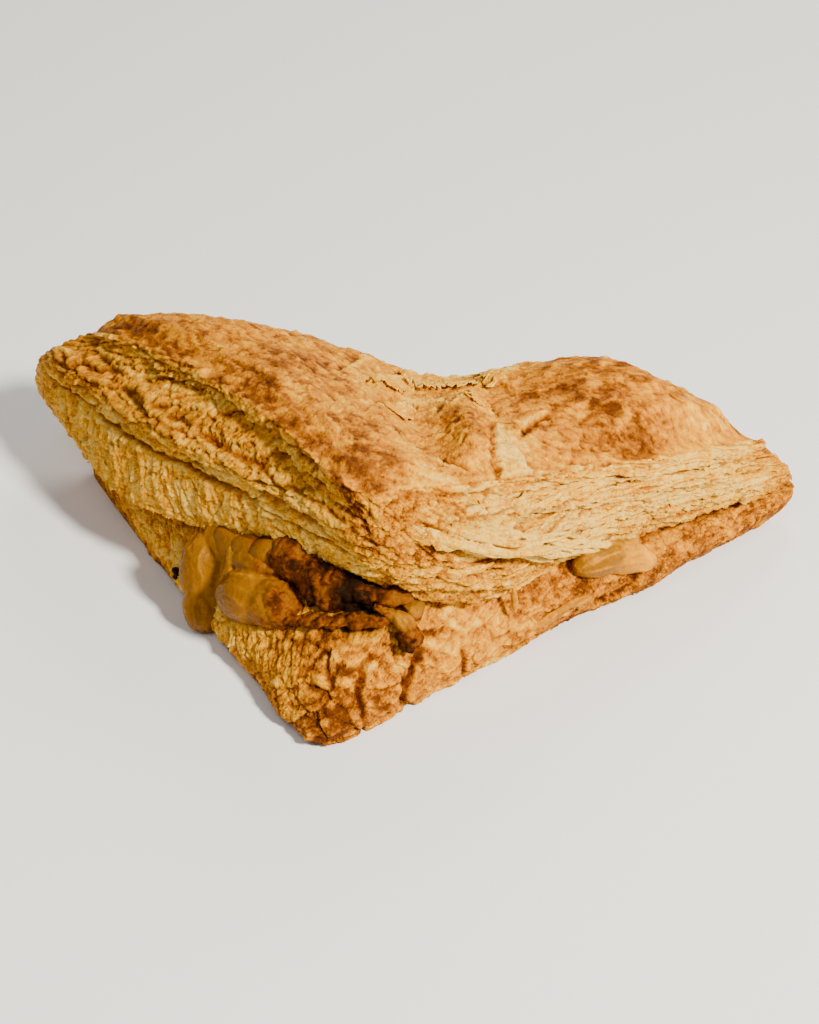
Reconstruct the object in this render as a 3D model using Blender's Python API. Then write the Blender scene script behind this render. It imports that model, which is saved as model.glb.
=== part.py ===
"""A baked cheese puff: a square of puff pastry folded corner to corner over melted cheese.

The open right-angled corner points along -Y, the fold runs along the back, and the two tips lie
along X. The part rests on its flat base at Z = 0. Sizes are in millimetres until a mesh is made.
"""

import math
from dataclasses import dataclass

import bmesh
import bpy
import numpy as np
from mathutils import Vector, noise

MM = 0.001
CENTRE = (-6.34, -4.59)  # middle of the pastry's bounding box in the plan below

# Sides of the plan run near corner to right tip, right tip to left tip, left tip to near corner.
RIGHT_SIDE, BACK_SIDE, LEFT_SIDE = 0, 1, 2
TIP_SOFTNESS = (0.08, 0.07)  # share of a side that the curve at the right and the left tip takes
SIDE_COLUMNS = (46, 22, 46)
POLE = (-2.0, 22.0)  # the rings of the top and the base close here, near the fold


@dataclass(frozen=True)
class Level:
    """One closed edge line of the pastry.

    It has three corners, a bow and a rise for each side, and local bulges, each given as the place
    on the line, its spread along it, and how far it pushes the line out and up.
    """

    near: tuple
    right: tuple
    left: tuple
    bow: tuple = (0.0, 0.0, 0.0)
    rise: tuple = (0.0, 0.0, 0.0)
    near_softness: float = 0.085
    bulges: tuple = ()


FOOT = Level(
    near=(-5.5, -50.8, 0.0), right=(70.5, 34.0, 0.0), left=(-74.0, 24.0, 0.0),
    bow=(-1.3, 5.0, 1.8), near_softness=0.055, bulges=((0.66, 0.14, 1.4, 0.0),),
)
LOWER_BELLY = Level(
    near=(-5.0, -53.0, 5.0), right=(76.0, 36.0, 5.0), left=(-77.5, 27.5, 6.5),
    bow=(-0.8, 7.0, 1.8), rise=(0.0, 1.5, 0.0), near_softness=0.055,
    bulges=((0.66, 0.14, 1.4, 0.0), (2.88, 0.06, 1.0, 0.0)),
)
LIP = Level(
    near=(-2.5, -38.0, 16.5), right=(75.0, 37.5, 7.5), left=(-82.0, 30.0, 10.5),
    bow=(-1.0, 8.5, 1.5), rise=(0.5, 4.0, -0.5), near_softness=0.09,
)
RIM = Level(
    near=(3.0, -31.5, 19.0), right=(74.5, 36.0, 8.5), left=(-86.0, 31.0, 12.5),
    bow=(0.5, 8.5, 8.0), rise=(-1.5, 4.5, 1.0),
    bulges=((0.20, 0.14, 4.0, -2.0), (2.42, 0.20, 4.0, -1.5), (2.80, 0.10, 0.0, 3.0)),
)
BELLY = Level(
    near=(2.5, -36.0, 28.5), right=(74.0, 36.0, 11.5), left=(-88.0, 32.8, 20.2),
    bow=(2.0, 6.5, 3.5), rise=(1.5, 2.5, 3.0),
    bulges=((0.22, 0.14, 2.5, -1.0), (2.42, 0.20, 2.0, 0.0)),
)
SHOULDER = Level(
    near=(-4.0, -32.0, 41.0), right=(68.5, 34.5, 18.5), left=(-78.5, 32.5, 28.3),
    bow=(4.0, 0.0, -2.5), rise=(1.5, 3.0, 5.0), near_softness=0.06,
)


@dataclass(frozen=True)
class Swell:
    """A rounded rise, or a dip where the height is negative, on the top crust."""

    centre: tuple
    reach: tuple
    turn: float
    height: float


TOP_SWELLS = (
    Swell(centre=(-43.0, 25.0), reach=(26.0, 12.0), turn=-8.0, height=4.6),
    Swell(centre=(-22.0, 2.0), reach=(22.0, 11.0), turn=-38.0, height=2.5),
    Swell(centre=(34.5, 24.0), reach=(20.0, 14.0), turn=-4.0, height=9.8),
    Swell(centre=(1.0, 24.0), reach=(9.0, 18.0), turn=0.0, height=-2.5),
    Swell(centre=(12.5, -5.0), reach=(3.6, 17.0), turn=21.0, height=3.2),
    Swell(centre=(3.5, -7.0), reach=(4.2, 15.0), turn=28.0, height=-2.6),
)
TOP_CROWN = 2.0
TOP_BLEND = 9.5  # distance in over which the shoulder line hands over to the crust's own height

CREVICE_DEPTH = 9.0
SEAM_DEPTH = 0.9
CREVICE_ENDS = (0.93, 2.10)  # where the open crevice stops near the right tip and near the left tip
CREVICE_FADE = 0.10

LAYER_COUNT = 7
LAYER_RELIEF = 1.3
FRINGE = {"at": 0.24, "spread": 0.17, "height": 0.36, "out": 2.2}
LEFT_LEDGE = {"height": 0.66, "out": 2.6}
LEFT_GUTTER = {"height": 0.86, "in": 3.0}

LOWER_STEPS = (0.0, 0.14, 0.34, 0.58, 0.82, 1.0)
UPPER_STEPS = (0.0, 0.10, 0.22, 0.34, 0.46, 0.58, 0.70, 0.80, 0.90, 1.0)
TOP_RINGS = (0.05, 0.12, 0.21, 0.32, 0.44, 0.57, 0.71, 0.85)
BASE_RINGS = (0.62, 0.34, 0.12)

# The cheese: a slab between the layers that fans out from near the fold to both open sides.
FILLING_ENDS = (2.17, 3.88)
FILLING_COLUMNS = 104
FILLING_ROOT = 0.24  # share of the way from the pole to the edge where the slab begins
CLEARANCE = 0.3
MELT = {"at": 2.705, "spread": 0.13, "out": 11.5, "hang": 10.0, "puff": 1.8}
CRUST = {"at": 2.92, "spread": 0.13, "out": 2.6, "hang": 0.5, "puff": 0.8}
BEAD = {"at": 3.072, "spread": 0.028, "out": 5.0, "hang": 1.4, "puff": 1.0}
DRIP = {"at": 3.262, "spread": 0.012, "out": 4.8, "hang": 3.0, "puff": 0.2}
LUMP = {"at": 3.52, "spread": 0.052, "out": 6.2, "hang": 3.0, "puff": 1.4}
OOZES = (MELT, CRUST, BEAD, DRIP, LUMP)
NOSE_STEPS = 6
SLAB_STEPS = 5

MATERIALS = {
    "baked_pastry": {"colour": (0.68, 0.36, 0.11), "roughness": 0.55},
    "melted_cheese": {"colour": (0.62, 0.36, 0.05), "roughness": 0.35},
}


def smooth(low, high, value):
    """0 below low, 1 above high, and an S curve between."""
    t = np.clip((value - low) / (high - low), 0.0, 1.0)
    return t * t * (3.0 - 2.0 * t)


def hump(value, centre, spread):
    """A bell of height 1."""
    return np.exp(-(((value - centre) / spread) ** 2))


def around(u, centre, spread):
    """A bell on the closed edge line, whose parameter runs from 0 to 3."""
    gap = (u - centre + 1.5) % 3.0 - 1.5
    return np.exp(-((gap / spread) ** 2))


def plateau(u, centre, spread):
    """A flat-topped bell on the closed edge line."""
    gap = (u - centre + 1.5) % 3.0 - 1.5
    return np.exp(-((gap / spread) ** 4))


def edge_line(level, u):
    """Points of a level's closed edge line at the parameters u, as an (n, 3) array."""
    corners = np.array([level.near, level.right, level.left], float)
    u = np.asarray(u, float) % 3.0
    side = np.minimum(u.astype(int), 2)
    share = u - side
    start, end, opposite = corners[side], corners[(side + 1) % 3], corners[(side + 2) % 3]
    soft = np.array([level.near_softness, *TIP_SOFTNESS])
    soft_start, soft_end = soft[side], soft[(side + 1) % 3]
    points = start + (end - start) * share[:, None]

    first = share < soft_start
    t = (0.5 + 0.5 * share / soft_start)[:, None]
    come = start + (opposite - start) * soft_start[:, None]
    leave = start + (end - start) * soft_start[:, None]
    points[first] = ((1 - t) ** 2 * come + 2 * t * (1 - t) * start + t**2 * leave)[first]

    last = share > 1.0 - soft_end
    t = (0.5 * (share - 1.0 + soft_end) / soft_end)[:, None]
    come = end + (start - end) * soft_end[:, None]
    leave = end + (opposite - end) * soft_end[:, None]
    points[last] = ((1 - t) ** 2 * come + 2 * t * (1 - t) * end + t**2 * leave)[last]

    arch = 4.0 * share * (1.0 - share)
    along = (end - start)[:, :2]
    outward = np.stack([along[:, 1], -along[:, 0]], 1) / np.linalg.norm(along, axis=1)[:, None]
    points[:, :2] += outward * (np.array(level.bow)[side] * arch)[:, None]
    points[:, 2] += np.array(level.rise)[side] * arch
    for at, spread, out, up in level.bulges:
        swelling = around(u, at, spread)
        points[:, :2] += outward * (out * swelling)[:, None]
        points[:, 2] += up * swelling
    return points


def outward_of(u):
    """Unit vectors in plan that point out of the rim at the parameters u."""
    step = 0.004
    ahead, behind = edge_line(RIM, u + step), edge_line(RIM, u - step)
    along = (ahead - behind)[:, :2]
    outward = np.stack([along[:, 1], -along[:, 0], np.zeros(len(along))], 1)
    return outward / np.linalg.norm(outward, axis=1)[:, None]


def through(low, middle, high, v):
    """The curve that starts at low, passes through middle half way, and ends at high."""
    pull = 2.0 * middle - 0.5 * (low + high)
    return (1 - v) ** 2 * low + 2 * v * (1 - v) * pull + v**2 * high


def ripple(u, row, size, seed):
    """Smooth uneven values along the edge, different for each row."""
    return np.array([
        noise.noise(Vector((math.cos(a) * size, math.sin(a) * size, row * 1.7 + seed)))
        for a in np.asarray(u) * (2.0 * math.pi / 3.0)
    ])


def openness(u):
    """1 on the two open sides, 0 on the folded back."""
    right_end, left_end = CREVICE_ENDS
    u = np.asarray(u) % 3.0
    back = smooth(right_end - CREVICE_FADE, right_end + CREVICE_FADE, u)
    return 1.0 - back * (1.0 - smooth(left_end - CREVICE_FADE, left_end + CREVICE_FADE, u))


def on_left(u):
    """1 along the left side, fading at its two ends."""
    u = np.asarray(u) % 3.0
    return smooth(2.04, 2.16, u) * (1.0 - smooth(2.88, 2.98, u))


def crust_height(x, y):
    """Height of the top crust over a point of the plan."""
    near, right, left = (np.array(c[:2]) for c in (SHOULDER.near, SHOULDER.right, SHOULDER.left))
    heights = [SHOULDER.near[2], SHOULDER.right[2], SHOULDER.left[2]]
    area = (right - near)[0] * (left - near)[1] - (left - near)[0] * (right - near)[1]
    to_right = ((x - near[0]) * (left - near)[1] - (left - near)[0] * (y - near[1])) / area
    to_left = ((right - near)[0] * (y - near[1]) - (x - near[0]) * (right - near)[1]) / area
    to_near = 1.0 - to_right - to_left
    height = to_near * heights[0] + to_right * heights[1] + to_left * heights[2] + TOP_CROWN
    height += 4.0 * to_near * to_right * SHOULDER.rise[RIGHT_SIDE]
    height += 4.0 * to_right * to_left * SHOULDER.rise[BACK_SIDE]
    height += 4.0 * to_left * to_near * SHOULDER.rise[LEFT_SIDE]
    for swell in TOP_SWELLS:
        turn = math.radians(swell.turn)
        dx, dy = x - swell.centre[0], y - swell.centre[1]
        across = dx * math.cos(turn) + dy * math.sin(turn)
        along = dy * math.cos(turn) - dx * math.sin(turn)
        height = height + swell.height * hump(across, 0, swell.reach[0]) * hump(along, 0, swell.reach[1])
    return height


def lower_wall(u, v):
    """The lower layer's side, from its foot at v = 0 to its lip at v = 1."""
    wall = through(edge_line(FOOT, u), edge_line(LOWER_BELLY, u), edge_line(LIP, u), v)
    relief = 0.6 * math.sin(math.pi * v) * ripple(u, v * 3.0, 7.0, 2.0)
    return wall + outward_of(u) * relief[:, None]


def upper_wall(u, v):
    """The upper layer's side, from its rim at v = 0 to its shoulder at v = 1, with its leaves."""
    wall = through(edge_line(RIM, u), edge_line(BELLY, u), edge_line(SHOULDER, u), v)
    inside = math.sin(math.pi * min(max(v, 0.04), 0.96)) ** 0.5
    cut = 0.25 + 0.75 * openness(u)
    out = LAYER_RELIEF * inside * cut * 2.0 * ripple(u, round(v * LAYER_COUNT), 6.0, 5.0)
    left = on_left(u)
    out += left * LEFT_LEDGE["out"] * hump(v, LEFT_LEDGE["height"], 0.10)
    out -= left * LEFT_GUTTER["in"] * hump(v, LEFT_GUTTER["height"], 0.08)
    fringe = around(u, FRINGE["at"], FRINGE["spread"]) * hump(v, FRINGE["height"], 0.09)
    out += FRINGE["out"] * fringe
    wall = wall + outward_of(u) * out[:, None]
    wall[:, 2] += 0.5 * inside * ripple(u, v * 4.0, 9.0, 11.0)
    return wall


def inward(edge, share):
    """The edge's points moved that share of the way to the pole, in plan."""
    moved = edge.copy()
    moved[:, :2] += (np.array(POLE) - edge[:, :2]) * share
    return moved


def crevice(u):
    """Rings from the lip in to the end of the crevice and out again to the rim."""
    lip, rim = lower_wall(u, 1.0), upper_wall(u, 0.0)
    depth = SEAM_DEPTH + (CREVICE_DEPTH - SEAM_DEPTH) * openness(u)
    out = outward_of(u)
    floor = lip - out * (0.5 * depth)[:, None]
    ceiling = rim - out * (0.5 * depth)[:, None]
    floor[:, 2] += 0.3
    end = 0.5 * (lip + rim) - out * (0.9 * depth)[:, None]
    end[:, 2] = 0.5 * (floor[:, 2] + ceiling[:, 2])
    return [floor, end, ceiling]


def pastry_rings(u):
    """All rings of the folded pastry, from the base round the lower layer, crevice and top."""
    foot = lower_wall(u, 0.0)
    foot[:, 2] = 0.0
    rings = [inward(foot, share) for share in BASE_RINGS]
    rings += [foot] + [lower_wall(u, v) for v in LOWER_STEPS[1:]]
    rings += crevice(u)
    rings += [upper_wall(u, v) for v in UPPER_STEPS]
    shoulder = rings[-1]
    way_in = np.linalg.norm(shoulder[:, :2] - np.array(POLE), axis=1)
    for share in TOP_RINGS:
        ring = inward(shoulder, share)
        hand_over = smooth(0.0, TOP_BLEND, share * way_in)
        ring[:, 2] += hand_over * (crust_height(ring[:, 0], ring[:, 1]) - ring[:, 2])
        rings.append(ring)
    return rings


def filling_sections(u):
    """The cheese's cross-section at each column: along the floor, round the nose, back inside."""
    lip, rim, out = lower_wall(u, 1.0), upper_wall(u, 0.0), outward_of(u)
    reach = np.full(len(u), -4.0)
    hang, puff = np.zeros(len(u)), np.zeros(len(u))
    for ooze in OOZES:
        here = plateau(u, ooze["at"], ooze["spread"])
        reach = np.maximum(reach, -4.0 + (ooze["out"] + 4.0) * here)
        hang = np.maximum(hang, ooze["hang"] * here)
        puff = np.maximum(puff, ooze["puff"] * here)
    pole = np.array(POLE)
    taper = smooth(0.0, 0.12, (u - u[0])) * smooth(0.0, 0.12, (u[-1] - u))
    middle = 0.5 * (lip[:, 2] + rim[:, 2])
    half = 0.5 * np.maximum(rim[:, 2] - lip[:, 2], 1.6) * (0.55 + 0.45 * taper) + 0.5
    edge = 0.5 * (lip + rim)
    front = edge + out * reach[:, None]
    root = edge.copy()
    root[:, :2] = pole + (edge[:, :2] - pole) * (FILLING_ROOT + 0.30 * (1.0 - taper))[:, None]

    floor, roof = [], []
    for step in range(SLAB_STEPS):
        share = step / SLAB_STEPS
        at = root + (front - root) * share
        low, high = at.copy(), at.copy()
        low[:, 2], high[:, 2] = middle - half, middle + half
        floor.append(low)
        roof.append(high)
    nose = []
    for step in range(NOSE_STEPS + 1):
        angle = math.pi * (step / NOSE_STEPS - 0.5)
        at = front + out * (1.5 * math.cos(angle) * np.ones(len(u)))[:, None]
        sink = hang * (0.5 - 0.5 * math.sin(angle))
        at[:, 2] = middle + (half + puff * math.cos(angle)) * math.sin(angle) - sink
        at += out * (puff * math.cos(angle))[:, None]
        nose.append(at)
    section = floor + nose + roof[::-1]
    return np.stack(section, 1)


def mesh_object(name, verts, faces, material):
    """A new smooth-shaded object from points in millimetres."""
    bm = bmesh.new()
    made = [bm.verts.new(((x - CENTRE[0]) * MM, (y - CENTRE[1]) * MM, z * MM)) for x, y, z in verts]
    for face in faces:
        bm.faces.new([made[i] for i in face])
    bmesh.ops.triangulate(bm, faces=bm.faces[:])
    bmesh.ops.recalc_face_normals(bm, faces=bm.faces[:])
    mesh = bpy.data.meshes.new(name)
    bm.to_mesh(mesh)
    bm.free()
    mesh.shade_smooth()
    mesh.materials.append(material)
    made_object = bpy.data.objects.new(name, mesh)
    bpy.context.scene.collection.objects.link(made_object)
    return made_object


def finish(slot):
    """The Principled material of one slot."""
    material = bpy.data.materials.new(slot)
    material.use_nodes = True
    shader = material.node_tree.nodes["Principled BSDF"]
    shader.inputs["Base Color"].default_value = (*MATERIALS[slot]["colour"], 1.0)
    shader.inputs["Roughness"].default_value = MATERIALS[slot]["roughness"]
    shader.inputs["Metallic"].default_value = 0.0
    return material


def make_pastry():
    """The folded pastry, one closed skin of rings that close at a pole on the base and on top."""
    u = np.concatenate([side + np.arange(n) / n for side, n in enumerate(SIDE_COLUMNS)])
    rings = pastry_rings(u)
    count = len(u)
    verts = [tuple(p) for ring in rings for p in ring]
    faces = []
    for row in range(len(rings) - 1):
        for column in range(count):
            after = (column + 1) % count
            faces.append((
                row * count + column, row * count + after,
                (row + 1) * count + after, (row + 1) * count + column,
            ))
    base_pole, top_pole = len(verts), len(verts) + 1
    verts += [(*POLE, 0.0), (*POLE, float(crust_height(*POLE)))]
    last = (len(rings) - 1) * count
    for column in range(count):
        after = (column + 1) % count
        faces.append((after, column, base_pole))
        faces.append((last + column, last + after, top_pole))
    return mesh_object("folded_pastry", verts, faces, finish("baked_pastry"))


def make_filling():
    """The cheese between the layers, with what has run out at the open sides."""
    u = np.linspace(*FILLING_ENDS, FILLING_COLUMNS)
    sections = filling_sections(u)
    columns, points = sections.shape[:2]
    verts = [tuple(p) for section in sections for p in section]
    faces = [tuple(range(points))[::-1], tuple((columns - 1) * points + k for k in range(points))]
    for column in range(columns - 1):
        for k in range(points):
            after = (k + 1) % points
            faces.append((
                column * points + k, column * points + after,
                (column + 1) * points + after, (column + 1) * points + k,
            ))
    return mesh_object("cheese_filling", verts, faces, finish("melted_cheese"))


def cut_pocket(pastry, filling):
    """Cuts the cheese's own shape, grown by the clearance, out of the pastry."""
    cutter = filling.copy()
    cutter.data = filling.data.copy()
    cutter.name = "pocket_cutter"
    bpy.context.scene.collection.objects.link(cutter)
    grown = bmesh.new()
    grown.from_mesh(cutter.data)
    grown.normal_update()
    for vertex in grown.verts:
        vertex.co += vertex.normal * CLEARANCE * MM
    grown.to_mesh(cutter.data)
    grown.free()
    cutter.hide_render = True
    cutter.display_type = "WIRE"
    cut = pastry.modifiers.new("pocket", "BOOLEAN")
    cut.operation = "DIFFERENCE"
    cut.solver = "EXACT"
    cut.use_self = True
    cut.object = cutter


def main():
    for old in list(bpy.data.objects):
        bpy.data.objects.remove(old)
    pastry = make_pastry()
    filling = make_filling()
    cut_pocket(pastry, filling)


main()
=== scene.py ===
"""The looks of a baked cheese puff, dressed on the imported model.

One square of puff pastry is folded corner to corner over melted cheese. The near, right-angled
corner points along -Y, the fold runs along the back, and the two tips lie along X. The plan of the
pastry is in millimetres; a point becomes metres, about the middle of the plan, as a mesh is made.
"""

import logging
import math
from dataclasses import dataclass
from enum import Enum
from typing import Any, NamedTuple

import bpy
import numpy as np
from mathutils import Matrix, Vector


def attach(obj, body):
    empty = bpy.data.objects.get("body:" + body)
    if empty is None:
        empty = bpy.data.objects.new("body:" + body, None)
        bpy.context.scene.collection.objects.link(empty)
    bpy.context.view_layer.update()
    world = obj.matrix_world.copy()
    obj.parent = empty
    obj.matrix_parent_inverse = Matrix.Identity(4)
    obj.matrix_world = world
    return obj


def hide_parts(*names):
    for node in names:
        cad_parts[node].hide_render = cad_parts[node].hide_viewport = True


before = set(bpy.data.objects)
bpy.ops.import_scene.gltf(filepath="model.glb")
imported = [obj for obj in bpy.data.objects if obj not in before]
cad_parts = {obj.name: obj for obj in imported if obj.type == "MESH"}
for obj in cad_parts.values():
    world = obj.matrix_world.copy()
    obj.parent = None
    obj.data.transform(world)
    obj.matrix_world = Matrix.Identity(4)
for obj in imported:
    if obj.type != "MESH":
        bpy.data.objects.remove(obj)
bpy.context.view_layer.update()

log = logging.getLogger("cheese_puff")

MM = 0.001
CENTRE = np.array([-6.34, -4.59])
POLE = np.array([-2.0, 22.0])
LEG = 112.0
FOLD = 157.0
WALL_HEIGHT = 24.0
MOST_MARK = 1.2
ORDER = "place_on_skin"

Array = np.ndarray
Piece = bpy.types.Object
Pair = tuple[float, float]
Triple = tuple[float, float, float]
Four = tuple[float, float, float, float]
Colour = Four


class Side(Enum):
    """The three sides of the folded square, in the order that the edge line runs."""

    RIGHT = 0
    BACK = 1
    LEFT = 2


class Zone(Enum):
    """What a ring of the pastry's skin belongs to."""

    BASE = 0
    WALL = 1
    CREVICE = 2
    TOP = 3


def smooth(low: float, high: float, value: Array) -> Array:
    """0 below low, 1 above high, and an S curve between."""
    t = np.clip((value - low) / (high - low), 0.0, 1.0)
    return t * t * (3.0 - 2.0 * t)


def hump(value: Array, centre: float, spread: float) -> Array:
    """A bell of height 1 about the centre."""
    return np.exp(-(((value - centre) / spread) ** 2))


def trailing(gap: Array, reach: float) -> Array:
    """1 up to zero, fading away beyond it over the reach."""
    return np.exp(-np.maximum(gap, 0.0) / reach)


def around(u: Array, centre: float, spread: float, power: float = 2.0) -> Array:
    """A bell on the closed edge line, flat-topped where the power is above 2."""
    gap = (u - centre + 1.5) % 3.0 - 1.5
    return np.exp(-(np.abs(gap / spread) ** power))


def curved(start: Array, pull: Array, end: Array, t: Array) -> Array:
    """A curve from start to end that is pulled towards a third point."""
    return (1 - t) ** 2 * start + 2 * t * (1 - t) * pull + t**2 * end


def turned(a: Array, b: Array, degrees: float) -> tuple[Array, Array]:
    """Places of a plane, measured along and across a direction."""
    c, s = math.cos(math.radians(degrees)), math.sin(math.radians(degrees))
    return a * c + b * s, b * c - a * s


class Flakes(NamedTuple):
    """The flake that each place lies on."""

    near: Array
    edge: Array
    number: Array
    along: Array
    across: Array


class Grain:
    """Repeatable noise over whole arrays of places."""

    _dice = np.random.default_rng(20)
    TABLE = _dice.permutation(256).astype(np.int32)
    SPOTS = _dice.random((256, 3)).astype(np.float32)
    _raw = _dice.normal(size=(256, 3))
    SLOPES = (_raw / np.linalg.norm(_raw, axis=1)[:, None]).astype(np.float32)

    @classmethod
    def noise(cls, points: Array, size: float, seed: int = 0) -> Array:
        """Gradient noise.

        Args:
            points: An array of points, with x, y and z in its last axis.
            size: The size of a feature, in the points' own unit.
            seed: A different field for each number.

        Returns:
            About -1 to 1 for each point.
        """
        scaled = np.asarray(points, np.float32) / np.float32(size) + np.float32(seed * 7.31)
        cell = np.floor(scaled)
        part = scaled - cell
        cell = cell.astype(np.int32)
        ease = part * part * part * (part * (part * 6.0 - 15.0) + 10.0)
        total = np.zeros(scaled.shape[:-1], np.float32)
        for dx in (0, 1):
            first = cls.TABLE[(cell[..., 0] + dx) & 255] + cell[..., 1]
            by_x = ease[..., 0] if dx else 1.0 - ease[..., 0]
            for dy in (0, 1):
                second = cls.TABLE[(first + dy) & 255] + cell[..., 2]
                by_y = by_x * (ease[..., 1] if dy else 1.0 - ease[..., 1])
                for dz in (0, 1):
                    slope = cls.SLOPES[cls.TABLE[(second + dz) & 255]]
                    rise = slope[..., 0] * (part[..., 0] - dx) + slope[..., 1] * (part[..., 1] - dy)
                    rise += slope[..., 2] * (part[..., 2] - dz)
                    total += by_y * (ease[..., 2] if dz else 1.0 - ease[..., 2]) * rise
        return total * 1.5

    @classmethod
    def flat(cls, a: Array, b: Array, size: float = 1.0, seed: int = 0) -> Array:
        """Gradient noise over a plane."""
        return cls.noise(np.stack([a, b, np.full_like(a, 0.37)], -1), size, seed)

    @classmethod
    def fractal(cls, points: Array, size: float, seed: int = 0, octaves: int = 3) -> Array:
        """Noise summed over ever smaller sizes, about -1 to 1.

        Args:
            points: An array of points, with x, y and z in its last axis.
            size: The size of the largest feature, in the points' own unit.
            seed: A different field for each number.
            octaves: How many sizes are summed, each half the last.

        Returns:
            The noise at each point.
        """
        total, span = np.zeros(points.shape[:-1], np.float32), 0.0
        for octave in range(octaves):
            total += 0.5**octave * cls.noise(points, size / 2.0**octave, seed + 17 * octave)
            span += 0.5**octave
        return total / span

    @classmethod
    def ridges(cls, a: Array, b: Array, seed: int = 0, octaves: int = 2) -> Array:
        """Sharp crests over a plane with rounded hollows between, 0 to 1.

        Args:
            a: Places along the plane's first direction.
            b: Places along its second direction.
            seed: A different field for each number.
            octaves: How many sizes are summed, each half the last.

        Returns:
            The height at each place.
        """
        total, span = np.zeros(a.shape, np.float32), 0.0
        for octave in range(octaves):
            crest = 1.0 - np.abs(cls.flat(a, b, 1.0 / 2.0**octave, seed + 29 * octave))
            total += 0.5**octave * np.clip(crest, 0.0, 1.0) ** 3
            span += 0.5**octave
        return total / span

    @classmethod
    def flakes(cls, a: Array, b: Array, seed: int = 0) -> Flakes:
        """Random flakes of about one unit over a plane.

        Args:
            a: Places along the plane's first direction.
            b: Places along its second direction.
            seed: A different set for each number.

        Returns:
            The distance to the flake's centre and to its edge, its own number from 0 to 1, and the
            way from its centre along both directions.
        """
        a, b = a + seed * 5.17, b + seed * 3.71
        home_a, home_b = np.floor(a).astype(np.int32), np.floor(b).astype(np.int32)
        near, following = np.full(a.shape, 9.0), np.full(a.shape, 9.0)
        number, along, across = np.zeros(a.shape), np.zeros(a.shape), np.zeros(a.shape)
        for i in (-1, 0, 1):
            column = cls.TABLE[(home_a + i) & 255] + home_b
            for j in (-1, 0, 1):
                spot = cls.SPOTS[cls.TABLE[(column + j) & 255]]
                gap_a, gap_b = a - home_a - i - spot[..., 0], b - home_b - j - spot[..., 1]
                gap = np.hypot(gap_a, gap_b)
                closer = gap < near
                following = np.minimum(following, np.where(closer, near, gap))
                number = np.where(closer, spot[..., 2], number)
                along = np.where(closer, gap_a, along)
                across = np.where(closer, gap_b, across)
                near = np.minimum(near, gap)
        return Flakes(near, following - near, number, along, across)


@dataclass(frozen=True)
class Level:
    """One closed edge line of the pastry: three corners, and a bow and a rise for each side.

    Each bulge gives the place on the line, its spread along it, and its push out and up.
    """

    near: Triple
    right: Triple
    left: Triple
    bow: Triple = (0.0, 0.0, 0.0)
    rise: Triple = (0.0, 0.0, 0.0)
    near_softness: float = 0.085
    bulges: tuple[Four, ...] = ()

    TIP_SOFTNESS = (0.08, 0.07)

    def line(self, u: Array) -> Array:
        """Points of the closed edge line.

        Args:
            u: Places on the line; each side is one unit long, from the near corner on.

        Returns:
            The points, with x, y and z in the last axis.
        """
        corners = np.array([self.near, self.right, self.left], float)
        u = np.asarray(u, float) % 3.0
        side = np.minimum(u.astype(int), 2)
        share = u - side
        start, end, opposite = corners[side], corners[(side + 1) % 3], corners[(side + 2) % 3]
        soft = np.array([self.near_softness, *self.TIP_SOFTNESS])
        soft_start, soft_end = soft[side], soft[(side + 1) % 3]
        points = start + (end - start) * share[:, None]
        first = share < soft_start
        t = (0.5 + 0.5 * share / soft_start)[:, None]
        come = start + (opposite - start) * soft_start[:, None]
        leave = start + (end - start) * soft_start[:, None]
        points[first] = curved(come, start, leave, t)[first]
        last = share > 1.0 - soft_end
        t = (0.5 * (share - 1.0 + soft_end) / soft_end)[:, None]
        come = end + (start - end) * soft_end[:, None]
        leave = end + (opposite - end) * soft_end[:, None]
        points[last] = curved(come, end, leave, t)[last]
        arch = 4.0 * share * (1.0 - share)
        along = (end - start)[:, :2]
        outward = np.stack([along[:, 1], -along[:, 0]], 1)
        outward /= np.linalg.norm(along, axis=1)[:, None]
        points[:, :2] += outward * (np.array(self.bow)[side] * arch)[:, None]
        points[:, 2] += np.array(self.rise)[side] * arch
        for at, spread, out, up in self.bulges:
            swelling = around(u, at, spread)
            points[:, :2] += outward * (out * swelling)[:, None]
            points[:, 2] += up * swelling
        return points


@dataclass(frozen=True)
class Patch:
    """A soft oval patch over the plan of the top crust."""

    centre: Pair
    reach: Pair
    turn: float
    amount: float

    def over(self, x: Array, y: Array) -> Array:
        """The patch's amount at each place of the plan."""
        along, across = turned(x - self.centre[0], y - self.centre[1], self.turn)
        return self.amount * hump(along, 0.0, self.reach[0]) * hump(across, 0.0, self.reach[1])


@dataclass(frozen=True)
class WallPatch:
    """A soft patch on a side, by its place on the edge line and its share of the height."""

    at: Pair
    spread: Pair
    amount: float

    def over(self, u: Array, v: Array) -> Array:
        """The patch's amount at each place of the side."""
        return self.amount * around(u, self.at[0], self.spread[0]) * hump(v, self.at[1], self.spread[1])


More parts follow.
